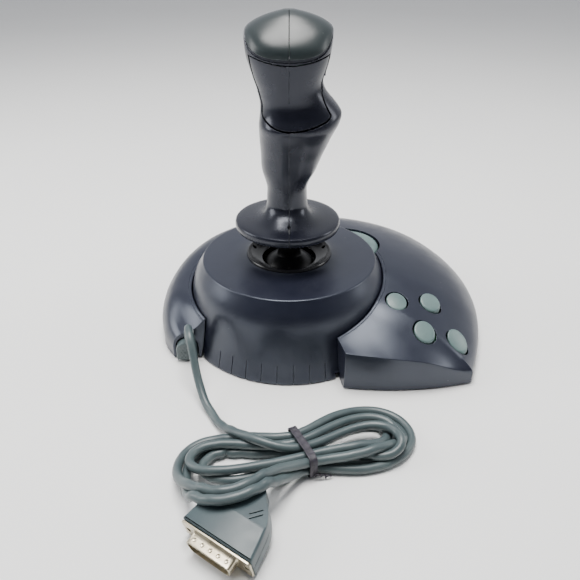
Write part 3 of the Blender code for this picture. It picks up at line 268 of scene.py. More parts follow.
BOARD = surface("solder_mask_green", (0.020, 0.120, 0.050), (0.035, 0.175, 0.075), 0.36, (0.30, 0.28, 0.12),
                grain=0.15, patch_mm=5.0)
# Near-black: the dome's own black rubber, made darker still as painted shade for the hollow under the hand
# rest.
DOME_BLACK_PAINTED_SHADE = surface("dome_black_painted_shade", (0.0025, 0.0025, 0.003), (0.004, 0.004, 0.005), 0.30, grain=0.1, specular=0.25)
POT = surface("potentiometer_blue", (0.045, 0.10, 0.28), (0.065, 0.13, 0.34), 0.33, (0.2, 0.3, 0.5),
              grain=0.08)

SLOT_FINISH = {
    "charcoal_plastic": SHELL, "gloss_black_plastic": GLOSS, "cap_grey_plastic": CAP,
    "green_grey_plastic": BUTTON,
    "cord_grey_vinyl": VINYL, "black_rubber": RUBBER, "zinc_steel": STEEL, "nickel_plate": NICKEL,
    "white_acetal": ACETAL, "green_circuit_board": BOARD, "blue_potentiometer": POT,
}
slot_of = {row["node"]: row["material_slot"] for row in frame["record"]["subparts"]}
for node_name, node_object in frame["nodes"].items():
    node_object.data.materials.clear()
    node_object.data.materials.append(SLOT_FINISH[slot_of[node_name]])


# ---- shape helpers, in millimetres of the stick's frame ----
def ray(degrees, reach):
    return (reach * math.cos(math.radians(degrees)), reach * math.sin(math.radians(degrees)))


def in_scene(name, data):
    made = bpy.data.objects.new(name, data)
    bpy.context.scene.collection.objects.link(made)
    return made


def put(work, matrix):
    bmesh.ops.transform(work, matrix=matrix, verts=work.verts)
    return work


def place(name, work, finish=None, smooth_deg=30):
    """An object of this mesh in the frame's metres; finish None makes a cutter."""
    bmesh.ops.recalc_face_normals(work, faces=work.faces)
    put(work, TO_WORLD)
    mesh = bpy.data.meshes.new(name)
    work.to_mesh(mesh)
    work.free()
    mesh.shade_smooth()
    mesh.set_sharp_from_angle(angle=math.radians(smooth_deg))
    if finish:
        mesh.materials.append(finish)
    return in_scene(name, mesh)


def belongs(piece, body, slot, *nodes):
    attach(piece, body)
    if nodes:
        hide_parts(*nodes)
    return piece


def lofted(rings, caps=True, wrap=False):
    """Quads through rings of equally many points; wrap joins the last ring to the first."""
    work = bmesh.new()
    layers = [[work.verts.new(p) for p in ring] for ring in rings]
    for low, high in zip(layers, layers[1:] + (layers[:1] if wrap else [])):
        for i in range(len(low)):
            j = (i + 1) % len(low)
            work.faces.new((low[i], low[j], high[j], high[i]))
    if caps and not wrap:
        for layer in (layers[0], layers[-1]):
            work.faces.new(layer)
    return work


AXIS_TURN = {"Z": Matrix(), "X": Matrix.Rotation(math.pi / 2, 4, "Y"),
             "Y": Matrix.Rotation(-math.pi / 2, 4, "X")}
UPRIGHT = Matrix.Rotation(math.pi / 2, 4, "X")
# X, Y and Z become Y, Z and X.
CYCLED = Matrix(((0, 0, 1, 0), (1, 0, 0, 0), (0, 1, 0, 0), (0, 0, 0, 1)))


def revolved(profile, where=(0, 0, 0), steps=96, axis="Z", turn=None):
    """A profile of radius and height turned round an axis, closed unless it starts and ends on the axis."""
    work = bmesh.new()
    layers = []
    for r, z in profile:
        if r < 1e-6:
            layers.append([work.verts.new((0, 0, z))])
        else:
            layers.append([work.verts.new((*ray(360 * k / steps, r), z)) for k in range(steps)])
    pairs = list(zip(layers, layers[1:]))
    if len(layers[0]) > 1:
        pairs.append((layers[-1], layers[0]))
    for a, b in pairs:
        for i in range(steps):
            j = (i + 1) % steps
            if len(a) == 1:
                work.faces.new((a[0], b[i], b[j]))
            elif len(b) == 1:
                work.faces.new((a[i], a[j], b[0]))
            else:
                work.faces.new((a[i], a[j], b[j], b[i]))
    return put(work, Matrix.Translation(where) @ (turn or AXIS_TURN[axis]))


def rounded(points, closed=True, steps=4):
    """The outline with corners rounded: a point is (x, y) or (x, y, how far the corner is cut back)."""
    out = []
    count = len(points)
    for i, point in enumerate(points):
        here = Vector(point[:2])
        reach = point[2] if len(point) > 2 else 0.0
        if not reach or (not closed and i in (0, count - 1)):
            out.append((here.x, here.y))
            continue
        before, after = Vector(points[i - 1][:2]), Vector(points[(i + 1) % count][:2])
        a = here + (before - here).normalized() * min(reach, 0.48 * (before - here).length)
        b = here + (after - here).normalized() * min(reach, 0.48 * (after - here).length)
        for k in range(steps + 1):
            t = k / steps
            p = a * (1 - t) ** 2 + here * 2 * t * (1 - t) + b * t * t
            out.append((p.x, p.y))
    return out


def extruded(outline, low, high, matrix=None):
    work = bmesh.new()
    bottom = [work.verts.new((x, y, low)) for x, y in outline]
    top = [work.verts.new((x, y, high)) for x, y in outline]
    for i in range(len(outline)):
        j = (i + 1) % len(outline)
        work.faces.new((bottom[i], bottom[j], top[j], top[i]))
    work.faces.new(bottom)
    work.faces.new(top)
    return work if matrix is None else put(work, matrix)


def block(size, where, matrix=None, bevel=0.0):
    work = bmesh.new()
    bmesh.ops.create_cube(work, size=1.0)
    bmesh.ops.scale(work, vec=size, verts=work.verts)
    if bevel:
        bmesh.ops.bevel(work, geom=work.edges[:], offset=bevel, segments=3, profile=0.6, affect="EDGES")
    return put(work, Matrix.Translation(where) @ (matrix or Matrix()))


def rod(radius, low, high, where, axis="Z", steps=32):
    return revolved([(0, low), (radius, low), (radius, high), (0, high)], where, steps, axis)


def carve(made, operation, *works):
    """Booleans with an EXACT solver, applied one after another; the cutters go."""
    cutters = [w if isinstance(w, bpy.types.Object) else place("cutter", w) for w in works]
    for cutter in cutters:
        step = made.modifiers.new("cut", "BOOLEAN")
        step.operation, step.solver, step.object = operation, "EXACT", cutter
    bpy.context.view_layer.update()
    mesh = bpy.data.meshes.new_from_object(made.evaluated_get(bpy.context.evaluated_depsgraph_get()))
    made.modifiers.clear()
    made.data = mesh
    for cutter in cutters:
        bpy.data.objects.remove(cutter)
    mesh.set_sharp_from_angle(angle=math.radians(30))
    return made


def copy_of(source, name, finish=None):
    made = source.copy()
    made.data = source.data.copy()
    made.name = made.data.name = name
    bpy.context.scene.collection.objects.link(made)
    if finish:
        made.data.materials.clear()
        made.data.materials.append(finish)
    return made


def through(points, step):
    """Points about a step apart on a smooth curve through the given ones."""
    points = [Vector(p) for p in points]
    ends = [points[0] * 2 - points[1]] + points + [points[-1] * 2 - points[-2]]
    line = []
    for a, b, c, d in zip(ends, ends[1:], ends[2:], ends[3:]):
        count = max(1, round((c - b).length / step))
        for i in range(count):
            t = i / count
            line.append(0.5 * (2 * b + (c - a) * t + (2 * a - 5 * b + 4 * c - d) * t * t
                               + (3 * b - a - 3 * c + d) * t ** 3))
    return line + [points[-1]]


def smooth_table(rows, at):
    """A row's columns at a place in its first column, on smooth curves through the table."""
    xs = [row[0] for row in rows]
    at = min(max(at, xs[0]), xs[-1])
    i = min(max(k for k in range(len(xs)) if xs[k] <= at), len(xs) - 2)

    def tangent(k, column):
        low, high = max(k - 1, 0), min(k + 1, len(rows) - 1)
        return (rows[high][column] - rows[low][column]) / (xs[high] - xs[low])

    h = xs[i + 1] - xs[i]
    t = (at - xs[i]) / h
    out = []
    for c in range(1, len(rows[0])):
        a, b = rows[i][c], rows[i + 1][c]
        ma, mb = tangent(i, c) * h, tangent(i + 1, c) * h
        out.append((2 * t ** 3 - 3 * t * t + 1) * a + (t ** 3 - 2 * t * t + t) * ma
                   + (3 * t * t - 2 * t ** 3) * b + (t ** 3 - t * t) * mb)
    return out


def inset(outline, distance):
    points = [Vector(p) for p in outline]
    area = sum(a.x * b.y - b.x * a.y for a, b in zip(points, points[1:] + points[:1]))
    side = 1 if area > 0 else -1
    moved = []
    for before, here, after in zip(points[-1:] + points[:-1], points, points[1:] + points[:1]):
        edges = ((here - before).normalized(), (after - here).normalized())
        normals = [Vector((-v.y, v.x)) * side for v in edges]
        middle = (normals[0] + normals[1]).normalized()
        moved.append(here + middle * distance / max(0.6, middle.dot(normals[0])))
    return [(p.x, p.y) for p in moved]


# ---- camera, floor and light ----
CAMERA_PLACE = (AXIS[0], 0.36607, 0.24092)
camera_data = bpy.data.cameras.new("camera")
camera_data.sensor_width = camera_data.lens = 36.0
camera_data.shift_x = 0.0015
camera = in_scene("camera", camera_data)
camera.location = CAMERA_PLACE
camera.rotation_euler = (math.radians(58.014), 0.0, math.pi)
bpy.context.scene.camera = camera


FLOOR_HALF = 9000.0


def add_floor():
    work = bmesh.new()
    bmesh.ops.create_grid(work, x_segments=2, y_segments=2, size=FLOOR_HALF)
    floor = place("floor", work)
    made = surface("desk_white", (0.92, 0.92, 0.91), (0.94, 0.94, 0.93), 0.5, grain=0.05, patch_mm=300.0)
    floor.data.materials.append(made)


def add_light(name, size, energy, place_at, aim, colour=(1, 1, 1)):
    data = bpy.data.lights.new(name, "AREA")
    data.shape, data.size, data.size_y = "RECTANGLE", size[0], size[1]
    data.energy, data.color = energy, colour
    lamp = in_scene(name, data)
    lamp.location = place_at
    lamp.rotation_euler = (Vector(aim) - Vector(place_at)).to_track_quat("-Z", "Y").to_euler()


def add_world():
    world = bpy.data.worlds.new("room")
    bpy.context.scene.world = world
    world.use_nodes = True
    nodes, links = world.node_tree.nodes, world.node_tree.links
    # Bright behind and above the object, dim on the user's far side where the room is dark.
    towards = nodes.new("ShaderNodeVectorMath")
    towards.operation = "DOT_PRODUCT"
    towards.inputs[1].default_value = (0.05, -0.62, 0.05)
    links.new(nodes.new("ShaderNodeTexCoord").outputs["Generated"], towards.inputs[0])
    level = nodes.new("ShaderNodeMapRange")
    for key, value in (("From Min", -0.55), ("From Max", 0.62), ("To Min", 0.05), ("To Max", 0.90)):
        level.inputs[key].default_value = value
    links.new(towards.outputs["Value"], level.inputs["Value"])
    back = nodes["Background"]
    back.inputs["Color"].default_value = (0.93, 0.95, 1.0, 1.0)
    links.new(level.outputs["Result"], back.inputs["Strength"])


add_floor()
add_world()
add_light("overhead", (0.7, 0.5), 23.0, (0.08, -0.02, 1.15), (0.02, 0.04, 0.05), (1.0, 0.985, 0.96))
add_light("window_left", (0.45, 0.6), 5.5, (0.95, 0.00, 0.50), (0.02, 0.02, 0.08))
add_light("window_right", (0.3, 0.5), 2.2, (-0.90, -0.05, 0.45), (0.0, 0.02, 0.08))


# ---- cord ----
TIE_U = Vector((math.cos(math.radians(TIE_TURN_DEG)), math.sin(math.radians(TIE_TURN_DEG)), 0.0))
TIE_V = Vector((-TIE_U.y, TIE_U.x, 0.0))
TIE_FOOT = Vector((TIE_CENTRE[0], TIE_CENTRE[1], 0.0))
PLUG_TURN = Matrix.Rotation(math.radians(PLUG_HEADING_DEG), 4, "Z")
# The plug stands on its face's lower edge, its tail lifted by the coil it lies in.
PLUG_TILT_DEG = 12.0
PLUG_AT = (Matrix.Translation((PLUG_CENTRE[0], PLUG_CENTRE[1], 0.2)) @ PLUG_TURN
           @ Matrix.Rotation(math.radians(PLUG_TILT_DEG), 4, "Y"))
COLUMNS = {"1": -10.2, "2": -5.1, "3": 0.0, "4": 5.1, "5": 10.2}
LEVELS = {"T": 8.8, "B": 3.7}
TIE_REACH = 7.5

# How the strands settle: the distance they keep, their lowest height, the length of lead that stays as drawn,
# their heights inside the tie, and the lid over the hood at its tail and at its face.
STRAND_GAP, STRAND_FLOOR, HELD_LENGTH = 5.12, 2.55, 88.0
TIE_HEIGHTS = (3.7, 10.8)
LID_TOP, LID_AT_FACE = 20.7, 17.9


def tie_pass(slot, to_right):
    """Points of a strand through the tie: T or B for its level, and 1 to 5 across it."""
    middle = TIE_FOOT + TIE_V * COLUMNS[slot[1]]
    middle.z = LEVELS[slot[0]]
    run = [middle + TIE_U * TIE_REACH, middle, middle - TIE_U * TIE_REACH]
    return run if to_right else run[::-1]


def cord_route():
    """The whole cord: lead, five loops on each side of the tie, and the stretch into the plug."""
    loops = [
        ("T3", [(-21.2, 123.9, 9), (-33, 117, 8.5), (-44, 112.6, 9), (-54, 113.6, 9.5), (-60, 119.5, 9.5),
                (-60.6, 127.5, 8.5), (-54.5, 133.6, 6), (-43, 134.4, 4), (-29, 132.5, 3.5)]),
        ("B3", [(8, 141, 4.5), (17.4, 148.6, 7), (28.3, 151.6, 8), (37.8, 149.5, 7), (46, 144, 5),
                (49.5, 137, 3),
                (46.5, 130, 2.8), (37.5, 125.6, 2.8), (24, 124, 2.8), (10, 122, 3)]),
        ("B1", [(-18, 114, 3), (-29, 107.5, 3), (-41, 102.8, 3), (-53, 102.3, 3), (-60.5, 107.5, 3),
                (-62.5, 116, 4), (-61.5, 125, 6), (-56, 132, 8), (-44, 136.8, 9), (-29, 138.3, 9.5)]),
        ("T5", [(-2.5, 146, 10), (5.5, 152.7, 15.5), (12.5, 160.5, 20), (18.4, 166.9, 20.8),
                (25.9, 170.6, 20.8),
                (33.5, 171.2, 20.4), (41.9, 168.8, 17), (48.7, 161.2, 11), (54.4, 152.1, 6), (58.1, 142.5, 4),
                (58.5, 133.7, 3), (55.4, 124.9, 3), (49.7, 119.5, 3), (40.6, 118, 3), (26.3, 121.4, 5),
                (14, 122.2, 7.5)]),
        ("T1", [(-20.4, 107.4, 8), (-30.3, 102.3, 6), (-40.5, 98.2, 4), (-52.4, 96.8, 4), (-61.5, 101.6, 4),
                (-66, 110.3, 4), (-66.5, 118.9, 4), (-64.5, 127, 4), (-58, 133.6, 3.5), (-48, 137.6, 3),
                (-36, 139, 3), (-25, 138.6, 3)]),
        ("B5", [(0.5, 148, 6.5), (6.3, 156, 13), (12.6, 164.5, 19.5), (20, 171.4, 20.8), (28.5, 174.6, 20.8),
                (38, 173, 17), (47.5, 164, 9), (52.5, 147, 4.5), (54, 138, 3), (50.5, 129.5, 2.8),
                (41, 124, 2.8), (27, 126, 2.8), (12, 127, 3)]),
        ("B2", [(-24, 114.5, 3), (-36, 108, 3), (-48, 105.2, 3), (-57.5, 109.6, 4), (-60.4, 118.4, 5),
                (-56.4, 127, 7), (-47, 131, 8.5), (-37, 131, 9), (-27, 132, 9)]),
        ("T4", [(5.7, 142.2, 10), (18.5, 144.3, 10), (31.4, 147.4, 9.5), (43, 148.6, 9), (53, 144, 8),
                (55, 134.4, 7.5), (48, 126.4, 7), (35, 125.2, 7), (22, 127.6, 8), (10.4, 128.8, 8)]),
        ("T2", [(-19, 117.5, 9), (-30.7, 110.1, 8), (-43.5, 105, 7), (-55.4, 107.5, 7), (-62, 115.8, 6.5),
                (-62, 124, 6), (-56.5, 130.5, 5), (-45, 134.5, 3.5), (-32, 135.3, 3)]),
        ("B4", [(4.5, 144.5, 4.8), (9.0, 151.0, 7.5), (12.2, 156.5, 10.8)]),
    ]
    route = [Vector(p) for p in LEAD_ROUTE]
    route += [Vector(p) for p in ((30.8, 118.6, 5.0), (28.3, 122.6, 10.5), (20.5, 127.3, 12.5),
                                  (10.5, 131.2, 12))]
    to_right = True
    for slot, points in loops:
        route += tie_pass(slot, to_right) + [Vector(p) for p in points]
        to_right = not to_right
    route.append(PLUG_AT @ Vector((-30.5, 0, PLUG_CENTRE[2])))
    return np.array(through(route, 2.4))


def relaxed(line, rounds=170):
    """The line with its strands pushed a diameter apart, on the floor, through the tie and over the hood."""
    start = line.copy()
    steps = np.linalg.norm(np.diff(line, axis=0), axis=1)
    held = max(8, int(np.searchsorted(np.cumsum(steps), HELD_LENGTH)))
    count = len(line)
    free = np.ones(count, bool)
    free[:held] = False
    free[-4:] = False
    index = np.arange(count)
    along_tie = (line - TIE_CENTRE) @ np.array(TIE_U)
    turn_back = np.array(PLUG_TURN.inverted().to_3x3())
    outline = np.array(HOOD_OUTLINE[::-1])
    for k in range(rounds):
        if k % 6 == 0:
            tree = KDTree(count)
            for i, p in enumerate(line):
                tree.insert(p, i)
            tree.balance()
            pairs = np.array([(i, j) for i, p in enumerate(line) for _, j, _ in tree.find_range(p, 8.0)
                              if j > i + 5], int).reshape(-1, 2)
        move = np.zeros_like(line)
        gap = line[pairs[:, 1]] - line[pairs[:, 0]]
        far = np.maximum(np.linalg.norm(gap, axis=1), 1e-6)
        push = np.where(far < STRAND_GAP, (STRAND_GAP - far) * 0.28, 0.0)[:, None] * gap / far[:, None]
        np.add.at(move, pairs[:, 1], push)
        np.add.at(move, pairs[:, 0], -push)
        middle = (line[:-2] + line[2:]) / 2 - line[1:-1]
        move[1:-1] += 0.16 * middle
        wide = (line[:-8] + line[8:]) / 2 - line[4:-4]
        move[8:-8] -= 0.045 * (wide[:-8] + wide[8:] - 2 * wide[4:-4])
        move += (start - line) * (0.03 if k < rounds * 2 // 3 else 0.018)
        move *= free[:, None]
        line = line + np.clip(move, -1.2, 1.2)
        line[:, 2] = np.where(free & (line[:, 2] < STRAND_FLOOR), STRAND_FLOOR, line[:, 2])
        offset = line - TIE_CENTRE
        along, across = offset @ np.array(TIE_U), offset @ np.array(TIE_V)
        inside = (np.abs(along) < 4.0) & (np.abs(along_tie) < 12.0) & free
        bound = TIE_INSIDE[0] / 2 - CORD / 2 - 0.1
        line += np.where(inside, np.clip(across, -bound, bound) - across, 0.0)[:, None] * np.array(TIE_V)
        line[:, 2] = np.where(inside, np.clip(line[:, 2], *TIE_HEIGHTS), line[:, 2])
        seen = (line - PLUG_CENTRE) @ turn_back.T
        width = np.interp(seen[:, 0], outline[:, 0], outline[:, 1], left=0.0, right=0.0)
        beside = np.maximum(np.abs(seen[:, 1]) - width - 2.2, 0.0) + np.maximum(-33.5 - seen[:, 0], 0.0)
        slope = math.tan(math.radians(PLUG_TILT_DEG))
        roof = np.minimum(LID_TOP, LID_AT_FACE - seen[:, 0] * slope) - 1.2 * beside
        over = (seen[:, 0] > -40.0) & (seen[:, 0] < 1.0) & (beside < 6.0) & (line[:, 2] < roof)
        over &= free & (start[:, 2] > 9.9) & (index < count - 14)
        line[:, 2] = np.where(over, np.minimum(roof, line[:, 2] + 0.5), line[:, 2])
    return line


def tube(name, points, diameter, finish, resolution=4):
    curve = bpy.data.curves.new(name, "CURVE")
    curve.dimensions = "3D"
    curve.bevel_depth = diameter / 2 * MM
    curve.bevel_resolution = resolution
    curve.use_fill_caps = True
    spline = curve.splines.new("POLY")
    spline.points.add(len(points) - 1)
    for knot, p in zip(spline.points, points):
        knot.co = (*(TO_WORLD @ Vector(p)), 1.0)
    curve.materials.append(finish)
    return in_scene(name, curve)


def make_cord():
    line = relaxed(cord_route())
    cord = tube("cord", line, CORD, VINYL, 5)
    belongs(cord, "base", "cord_grey_vinyl", "cord_lead", "cord_hank")
    return cord, line, float(np.linalg.norm(np.diff(line, axis=0), axis=1).sum()) * MM


def make_tie():
    """A soft strap round the bundle, slightly creased, and the twisted ends of its wire."""
    half, low, high = TIE_INSIDE[0] / 2, TIE_CENTRE[2] - TIE_INSIDE[1] / 2, TIE_CENTRE[2] + TIE_INSIDE[1] / 2
    loop = rounded([(-half, low, 2.6), (half, low, 2.6), (half, high, 3.4), (-half, high, 3.4)], steps=8)
    loop = [tuple(p) for p in through([(*p, 0) for p in loop] + [(*loop[0], 0)], 1.1)][:-1]
    rings = []
    for i, (v, z, _) in enumerate(loop):
        before, after = loop[i - 1], loop[(i + 1) % len(loop)]
        along = Vector((after[0] - before[0], after[1] - before[1])).normalized()
        out = Vector((along.y, -along.x))
        crease = 0.16 * math.sin(i * 1.7) + 0.10 * math.sin(i * 2.9 + 1)
        half_width = TIE_WIDTH / 2 - 0.12 + 0.10 * math.sin(i * 0.9)
        ring = []
        for u, t in rounded([(-half_width, 0.02, 0.3), (half_width, 0.02, 0.3),
                             (half_width, TIE_THICKNESS - 0.1, 0.35),
                             (0.3, TIE_THICKNESS - 0.28 + crease, 0.8),
                             (-half_width, TIE_THICKNESS - 0.1, 0.35)], steps=3):
            p = TIE_FOOT + TIE_V * (v + out.x * t) + TIE_U * (u + 0.25 * math.sin(i * 0.21))
            ring.append((p.x, p.y, z + out.y * t))
        rings.append(ring)
    strap = place("tie_strap", lofted(rings, wrap=True), TIE, 50)
    belongs(strap, "base", "black_rubber", "cable_tie")
    start = TIE_FOOT + TIE_V * (half + 1.2) + TIE_U * 0.5
    points = []
    for k in range(46):
        t = k / 45
        dx, dz = ray(t * 900, 0.85 * (1 - 0.2 * t))
        p = start + TIE_V * (0.3 + 2.3 * t) - TIE_U * (1.5 + 6.5 * t - dx)
        points.append((p.x, p.y, 3.2 - 1.4 * t + dz))
    ends = tube("tie_ends", points, 0.9, TIE, 3)
    belongs(ends, "base", "black_rubber")
    return [strap, ends]


def make_plug():
    """The hood in two pressed halves, a nickel shell with pressed dimples, and its pins."""
    at = PLUG_AT
    half = [(0.0, 19.6, 0.8), (-12.8, 17.3, 2.5), (-18.0, 15.8, 3), (-23.0, 12.3, 3), (-28.0, 6.8, 2.2),
            (-31.8, 4.5, 1.2)]
    outline = rounded(half + [(u, -w, r) for u, w, r in reversed(half)], steps=5)
    levels = [(0.5, 0.9), (0.7, 0.45), (1.3, 0.1), (2.4, 0.0), (7.55, 0.0), (7.7, 0.3), (8.0, 0.3),
              (8.15, 0.0), (13.6, 0.0), (14.4, 0.15), (14.95, 0.45), (15.2, 0.75), (15.3, 1.1)]
    rings = [[(u, w, z) for u, w in inset(outline, depth)] for z, depth in levels]
    hood = place("plug_hood_moulding", lofted(rings), HOOD_VINYL, 40)
    hood.data.transform(TO_WORLD.inverted())
    hood.data.transform(at)
    hood.data.transform(TO_WORLD)
    grooves = [block((0.55, 6.5, 3.0), (-17.5 - 2.0 * i, 9.4 - 1.4 * i, 14.6), Matrix.Rotation(0.9, 4, "Z"))
               for i in range(2)]
    nose = rod(CORD / 2 + 0.15, -6.0, 4.0, (-31.6, 0, PLUG_CENTRE[2]), "X")
    for work in grooves + [nose]:
        put(work, at)
    lid = block((90.0, 90.0, 20.0), (PLUG_CENTRE[0] - 10.0, PLUG_CENTRE[1] - 15.0, 28.1))
    carve(hood, "DIFFERENCE", lid, *grooves, nose)
    belongs(hood, "base", "cord_grey_vinyl", "plug_hood")

    face = at @ Matrix.Translation((0, 0, PLUG_CENTRE[2])) @ CYCLED

    def d_shape(width, height, corner=2.2):
        # Wide row above, narrow row below, as on any such plug.
        return rounded([(-width / 2, height / 2, corner), (width / 2, height / 2, corner),
                        (width / 2 - 1.4, -height / 2, corner), (-width / 2 + 1.4, -height / 2, corner)],
                       steps=6)

    w, h = FLANGE_SIZE[0] / 2 - 0.05, FLANGE_SIZE[1] / 2 - 0.05
    plate = rounded([(-w, -h, 1.6), (w, -h, 1.6), (w, h, 1.6), (-w, h, 1.6)], steps=5)
    shell = place("plug_flange", extruded(plate, GAP, GAP + 0.8, face), NICKEL)
    width, height = SHROUD_SIZE
    root = [[(x, y, z) for x, y in d_shape(width + grow, height + grow)]
            for z, grow in ((GAP + 0.4, 1.6), (GAP + 1.0, 1.2), (GAP + 1.5, 0.4), (GAP + 2.0, 0.0),
                            (SHROUD_REACH - 0.3, 0.0), (SHROUD_REACH, -0.4))]
    shroud = lofted(root)
    room = extruded(d_shape(width - 1.0, height - 1.0, 1.9), -2.0, 12.0)
    dimples = []
    for i in range(5):
        for side in (-1, 1):
            dimples.append(revolved([(0, -0.34), (0.5, -0.32), (0.95, -0.12), (1.2, 0.4), (0, 0.4)],
                                    ((i - 2) * 4.6, side * (height / 2), 4.4), 20,
                                    turn=Matrix.Rotation(-side * math.pi / 2, 4, "X")))
    holes = [rod(1.6, -4.0, 4.0, (side * FLANGE_HOLES / 2, 0, 0)) for side in (-1, 1)]
    for work in [shroud, room] + dimples + holes:
        put(work, face)
    carve(shell, "UNION", shroud)
    carve(shell, "DIFFERENCE", room, *holes)
    carve(shell, "DIFFERENCE", *dimples)
    belongs(shell, "base", "nickel_plate", "plug_shell")

    insert = place("plug_insulator", extruded(d_shape(width - 1.6, height - 1.6, 1.8), 0.45, 2.6, face),
                   GLOSS)
    pins = bmesh.new()
    for row, count in ((1, 8), (-1, 7)):
        for k in range(count):
            pin = revolved([(0, 2.0), (0.5, 2.0), (0.5, 5.4), (0.42, 5.8), (0.22, 6.05), (0, 6.1)],
                           ((k - (count - 1) / 2) * PIN_PITCH, row * PIN_ROW_GAP / 2, 0), 14)
            mesh = bpy.data.meshes.new("pin")
            pin.to_mesh(mesh)
            pin.free()
            pins.from_mesh(mesh)
            bpy.data.meshes.remove(mesh)
    pin_set = place("plug_pins", put(pins, face), NICKEL)
    belongs(insert, "base", "gloss_black_plastic", "plug_pin_insert")
    belongs(pin_set, "base", "nickel_plate")
    return [hood, shell, insert, pin_set]


def arch(half, height, floor, step=9):
    crown = [(x, height - half + y) for x, y in (ray(a, half) for a in range(0, 181, step))]
    return [(half, floor)] + crown + [(-half, floor)]


def ring_round(centre, heading, radius, points=24):
    """Points round a place on the cord, square to its heading."""
    across = heading.cross(Vector((1, 0, 0))).normalized()
    other = heading.cross(across).normalized()
    return [tuple(centre + across * c + other * s)
            for c, s in (ray(360 / points * k, radius) for k in range(points))]


RELIEF_X, SLEEVE_TOP, SLEEVE_BORE = 66.6, 24.5, 2.55


def make_relief(line):
    """The arched block in the casing's mouth with its stippled face, and a ribbed sleeve on the cord."""
    upright = Matrix.Translation((RELIEF_X, 0, 0)) @ UPRIGHT
    levels = [(-40.5, 0.0), (-47.6, 0.0), (-48.5, 0.3), (-48.9, 0.8), (-49.0, 1.5)]
    rings = []
    for z, depth in levels:
        outline = arch(6.6 - depth, 15.4 - depth, 1.6 + depth)
        rings.append([tuple(upright @ Vector((x, y, z))) for x, y in outline])
    relief = place("relief_block", lofted(rings), VINYL, 40)
    dots = []
    for i in range(5):
        for j in range(3 if i % 2 else 4):
            x = RELIEF_X + (j - (1 if i % 2 else 1.5)) * 2.3
            dots.append(revolved([(0, -0.3), (0.75, -0.3), (0.55, 0.25), (0, 0.4)], (x, 48.9, 4.0 + 1.9 * i),
                                 10, "Y"))
    carve(relief, "UNION", *dots)
    carve(relief, "DIFFERENCE", rod(CORD / 2 + 0.1, 12.0, 20.0, (*LEAD_ROUTE[0][:2], 0)))
    belongs(relief, "base", "cord_grey_vinyl", "strain_relief")
    profile = []
    reach = 0.0
    for a, b in zip(map(Vector, line[:7]), map(Vector, line[1:8])):
        for k in range(6):
            radius = 3.25 - 0.05 * reach + (0.28 if (reach % 1.7) < 0.85 else 0.0)
            profile.append((a.lerp(b, k / 6), (b - a).normalized(), radius))
            reach += (b - a).length / 6
    shown = [row for row in profile if row[0].z <= SLEEVE_TOP]
    ribs = [ring_round(*row) for row in shown]
    inner = [ring_round(centre, heading, SLEEVE_BORE) for centre, heading, _ in reversed(shown)]
    sleeve = place("relief_sleeve", lofted(ribs + inner, wrap=True), VINYL, 25)
    belongs(sleeve, "base", "cord_grey_vinyl")
    return [relief, sleeve]


cord_piece, cord_line, cord_length = make_cord()
cord_pieces = make_tie() + make_plug() + make_relief(cord_line)


# ---- base ----
def hub_radius(height):
    rows = [(z, r) for r, z in reversed(HUB_PROFILE)]
    return smooth_table(rows, height)[0]


def make_hub():
    wall = [(hub_radius(z), z) for z in np.linspace(51.6, HUB_BOTTOM + 0.5, 36)]
    outer = [(25.7, 55.2), (28.7, 55.2), (29.3, 54.85), (30.4, 54.4), (32.2, 54.0), (34.6, 53.72),
             (37.6, 53.55),
             (41.0, PLATE_TOP), (56.6, PLATE_TOP), (57.2, PLATE_TOP - 0.05),
             (57.65, PLATE_TOP - 0.22), (57.95, PLATE_TOP - 0.55), (58.2, PLATE_TOP - 1.0)] + wall
    outer += [(SKIRT_RADIUS - 0.1, HUB_BOTTOM), (SKIRT_RADIUS - HUB_WALL, HUB_BOTTOM)]
    inner = [(hub_radius(z) - HUB_WALL, z) for z in np.linspace(HUB_BOTTOM + 4, 47.0, 12)]
    ceiling = PLATE_TOP - HUB_WALL
    hub = place("hub_moulding", revolved(outer + inner + [(56.4, ceiling), (25.7, ceiling)], steps=180),
                SHELL)
    cutters = [rod(WHEEL_NOTCH, WHEEL_BOTTOM - 0.8, WHEEL_TOP + 0.9, (*WHEEL_CENTRE, 0), steps=96)]
    back = [(0, 0), ray(39, 110), (110, -110), (-110, -110), (-110, 80), ray(114, 110)]
    cutters.append(extruded(back, -5.0, 4.3))
    for i in range(8):
        angle = 51.2 + i * 8.2
        lean = Matrix.Rotation(math.radians(angle), 4, "Z") @ Matrix.Rotation(math.radians(-13.0), 4, "Y")
        cutters.append(block((1.5, 0.5, 15.0), (*ray(angle, hub_radius(6.5) + 0.15), 6.2), lean))
    carve(hub, "DIFFERENCE", *cutters)
    belongs(hub, "base", "charcoal_plastic", "hub_housing")

    profile = rounded([
        (18.0, 52.3, 0.3), (21.5, 53.4, 3), (25.2, 55.7, 1.0), (25.9, 56.55, 0.3), (26.35, 56.2, 0.2),
        (26.75, 56.2, 0.2), (27.0, 56.98, 0.35), (27.7, 56.95, 0.4), (28.25, 56.3, 0.5), (28.4, 55.1, 0.2),
        (25.5, 55.1), (25.5, 51.2), (18.6, 51.2, 0.3)], steps=4)
    ring = place("stem_collar", revolved(profile, steps=144), GLOSS)
    carve(ring, "DIFFERENCE", *(rod(1.35, 50.0, 60.0, (side * 23.6, -7.3, 0), steps=24) for side in (-1, 1)))
    belongs(ring, "base", "gloss_black_plastic", "stem_ring")


def casing_outline():
    (ax, ay), (cx, cy), (bx, by) = WING_FRONT
    front = []
    for i in range(30):
        u = i / 15 - 1
        front.append(((ax + bx) / 2 + (bx - ax) / 2 * u,
                      cy + (by - ay) / 2 * u + ((ay + by) / 2 - cy) * u * u))
    side = [(p.x, p.y) for p in through([(x, y, 0) for x, y in CASING_SIDE], 3.4)]
    points, last = [], 0.0
    for x, y in front + side:
        angle = math.degrees(math.atan2(y, x))
        while angle < last - 1:
            angle += 360
        points.append((x, y, angle))
        last = angle
    return points


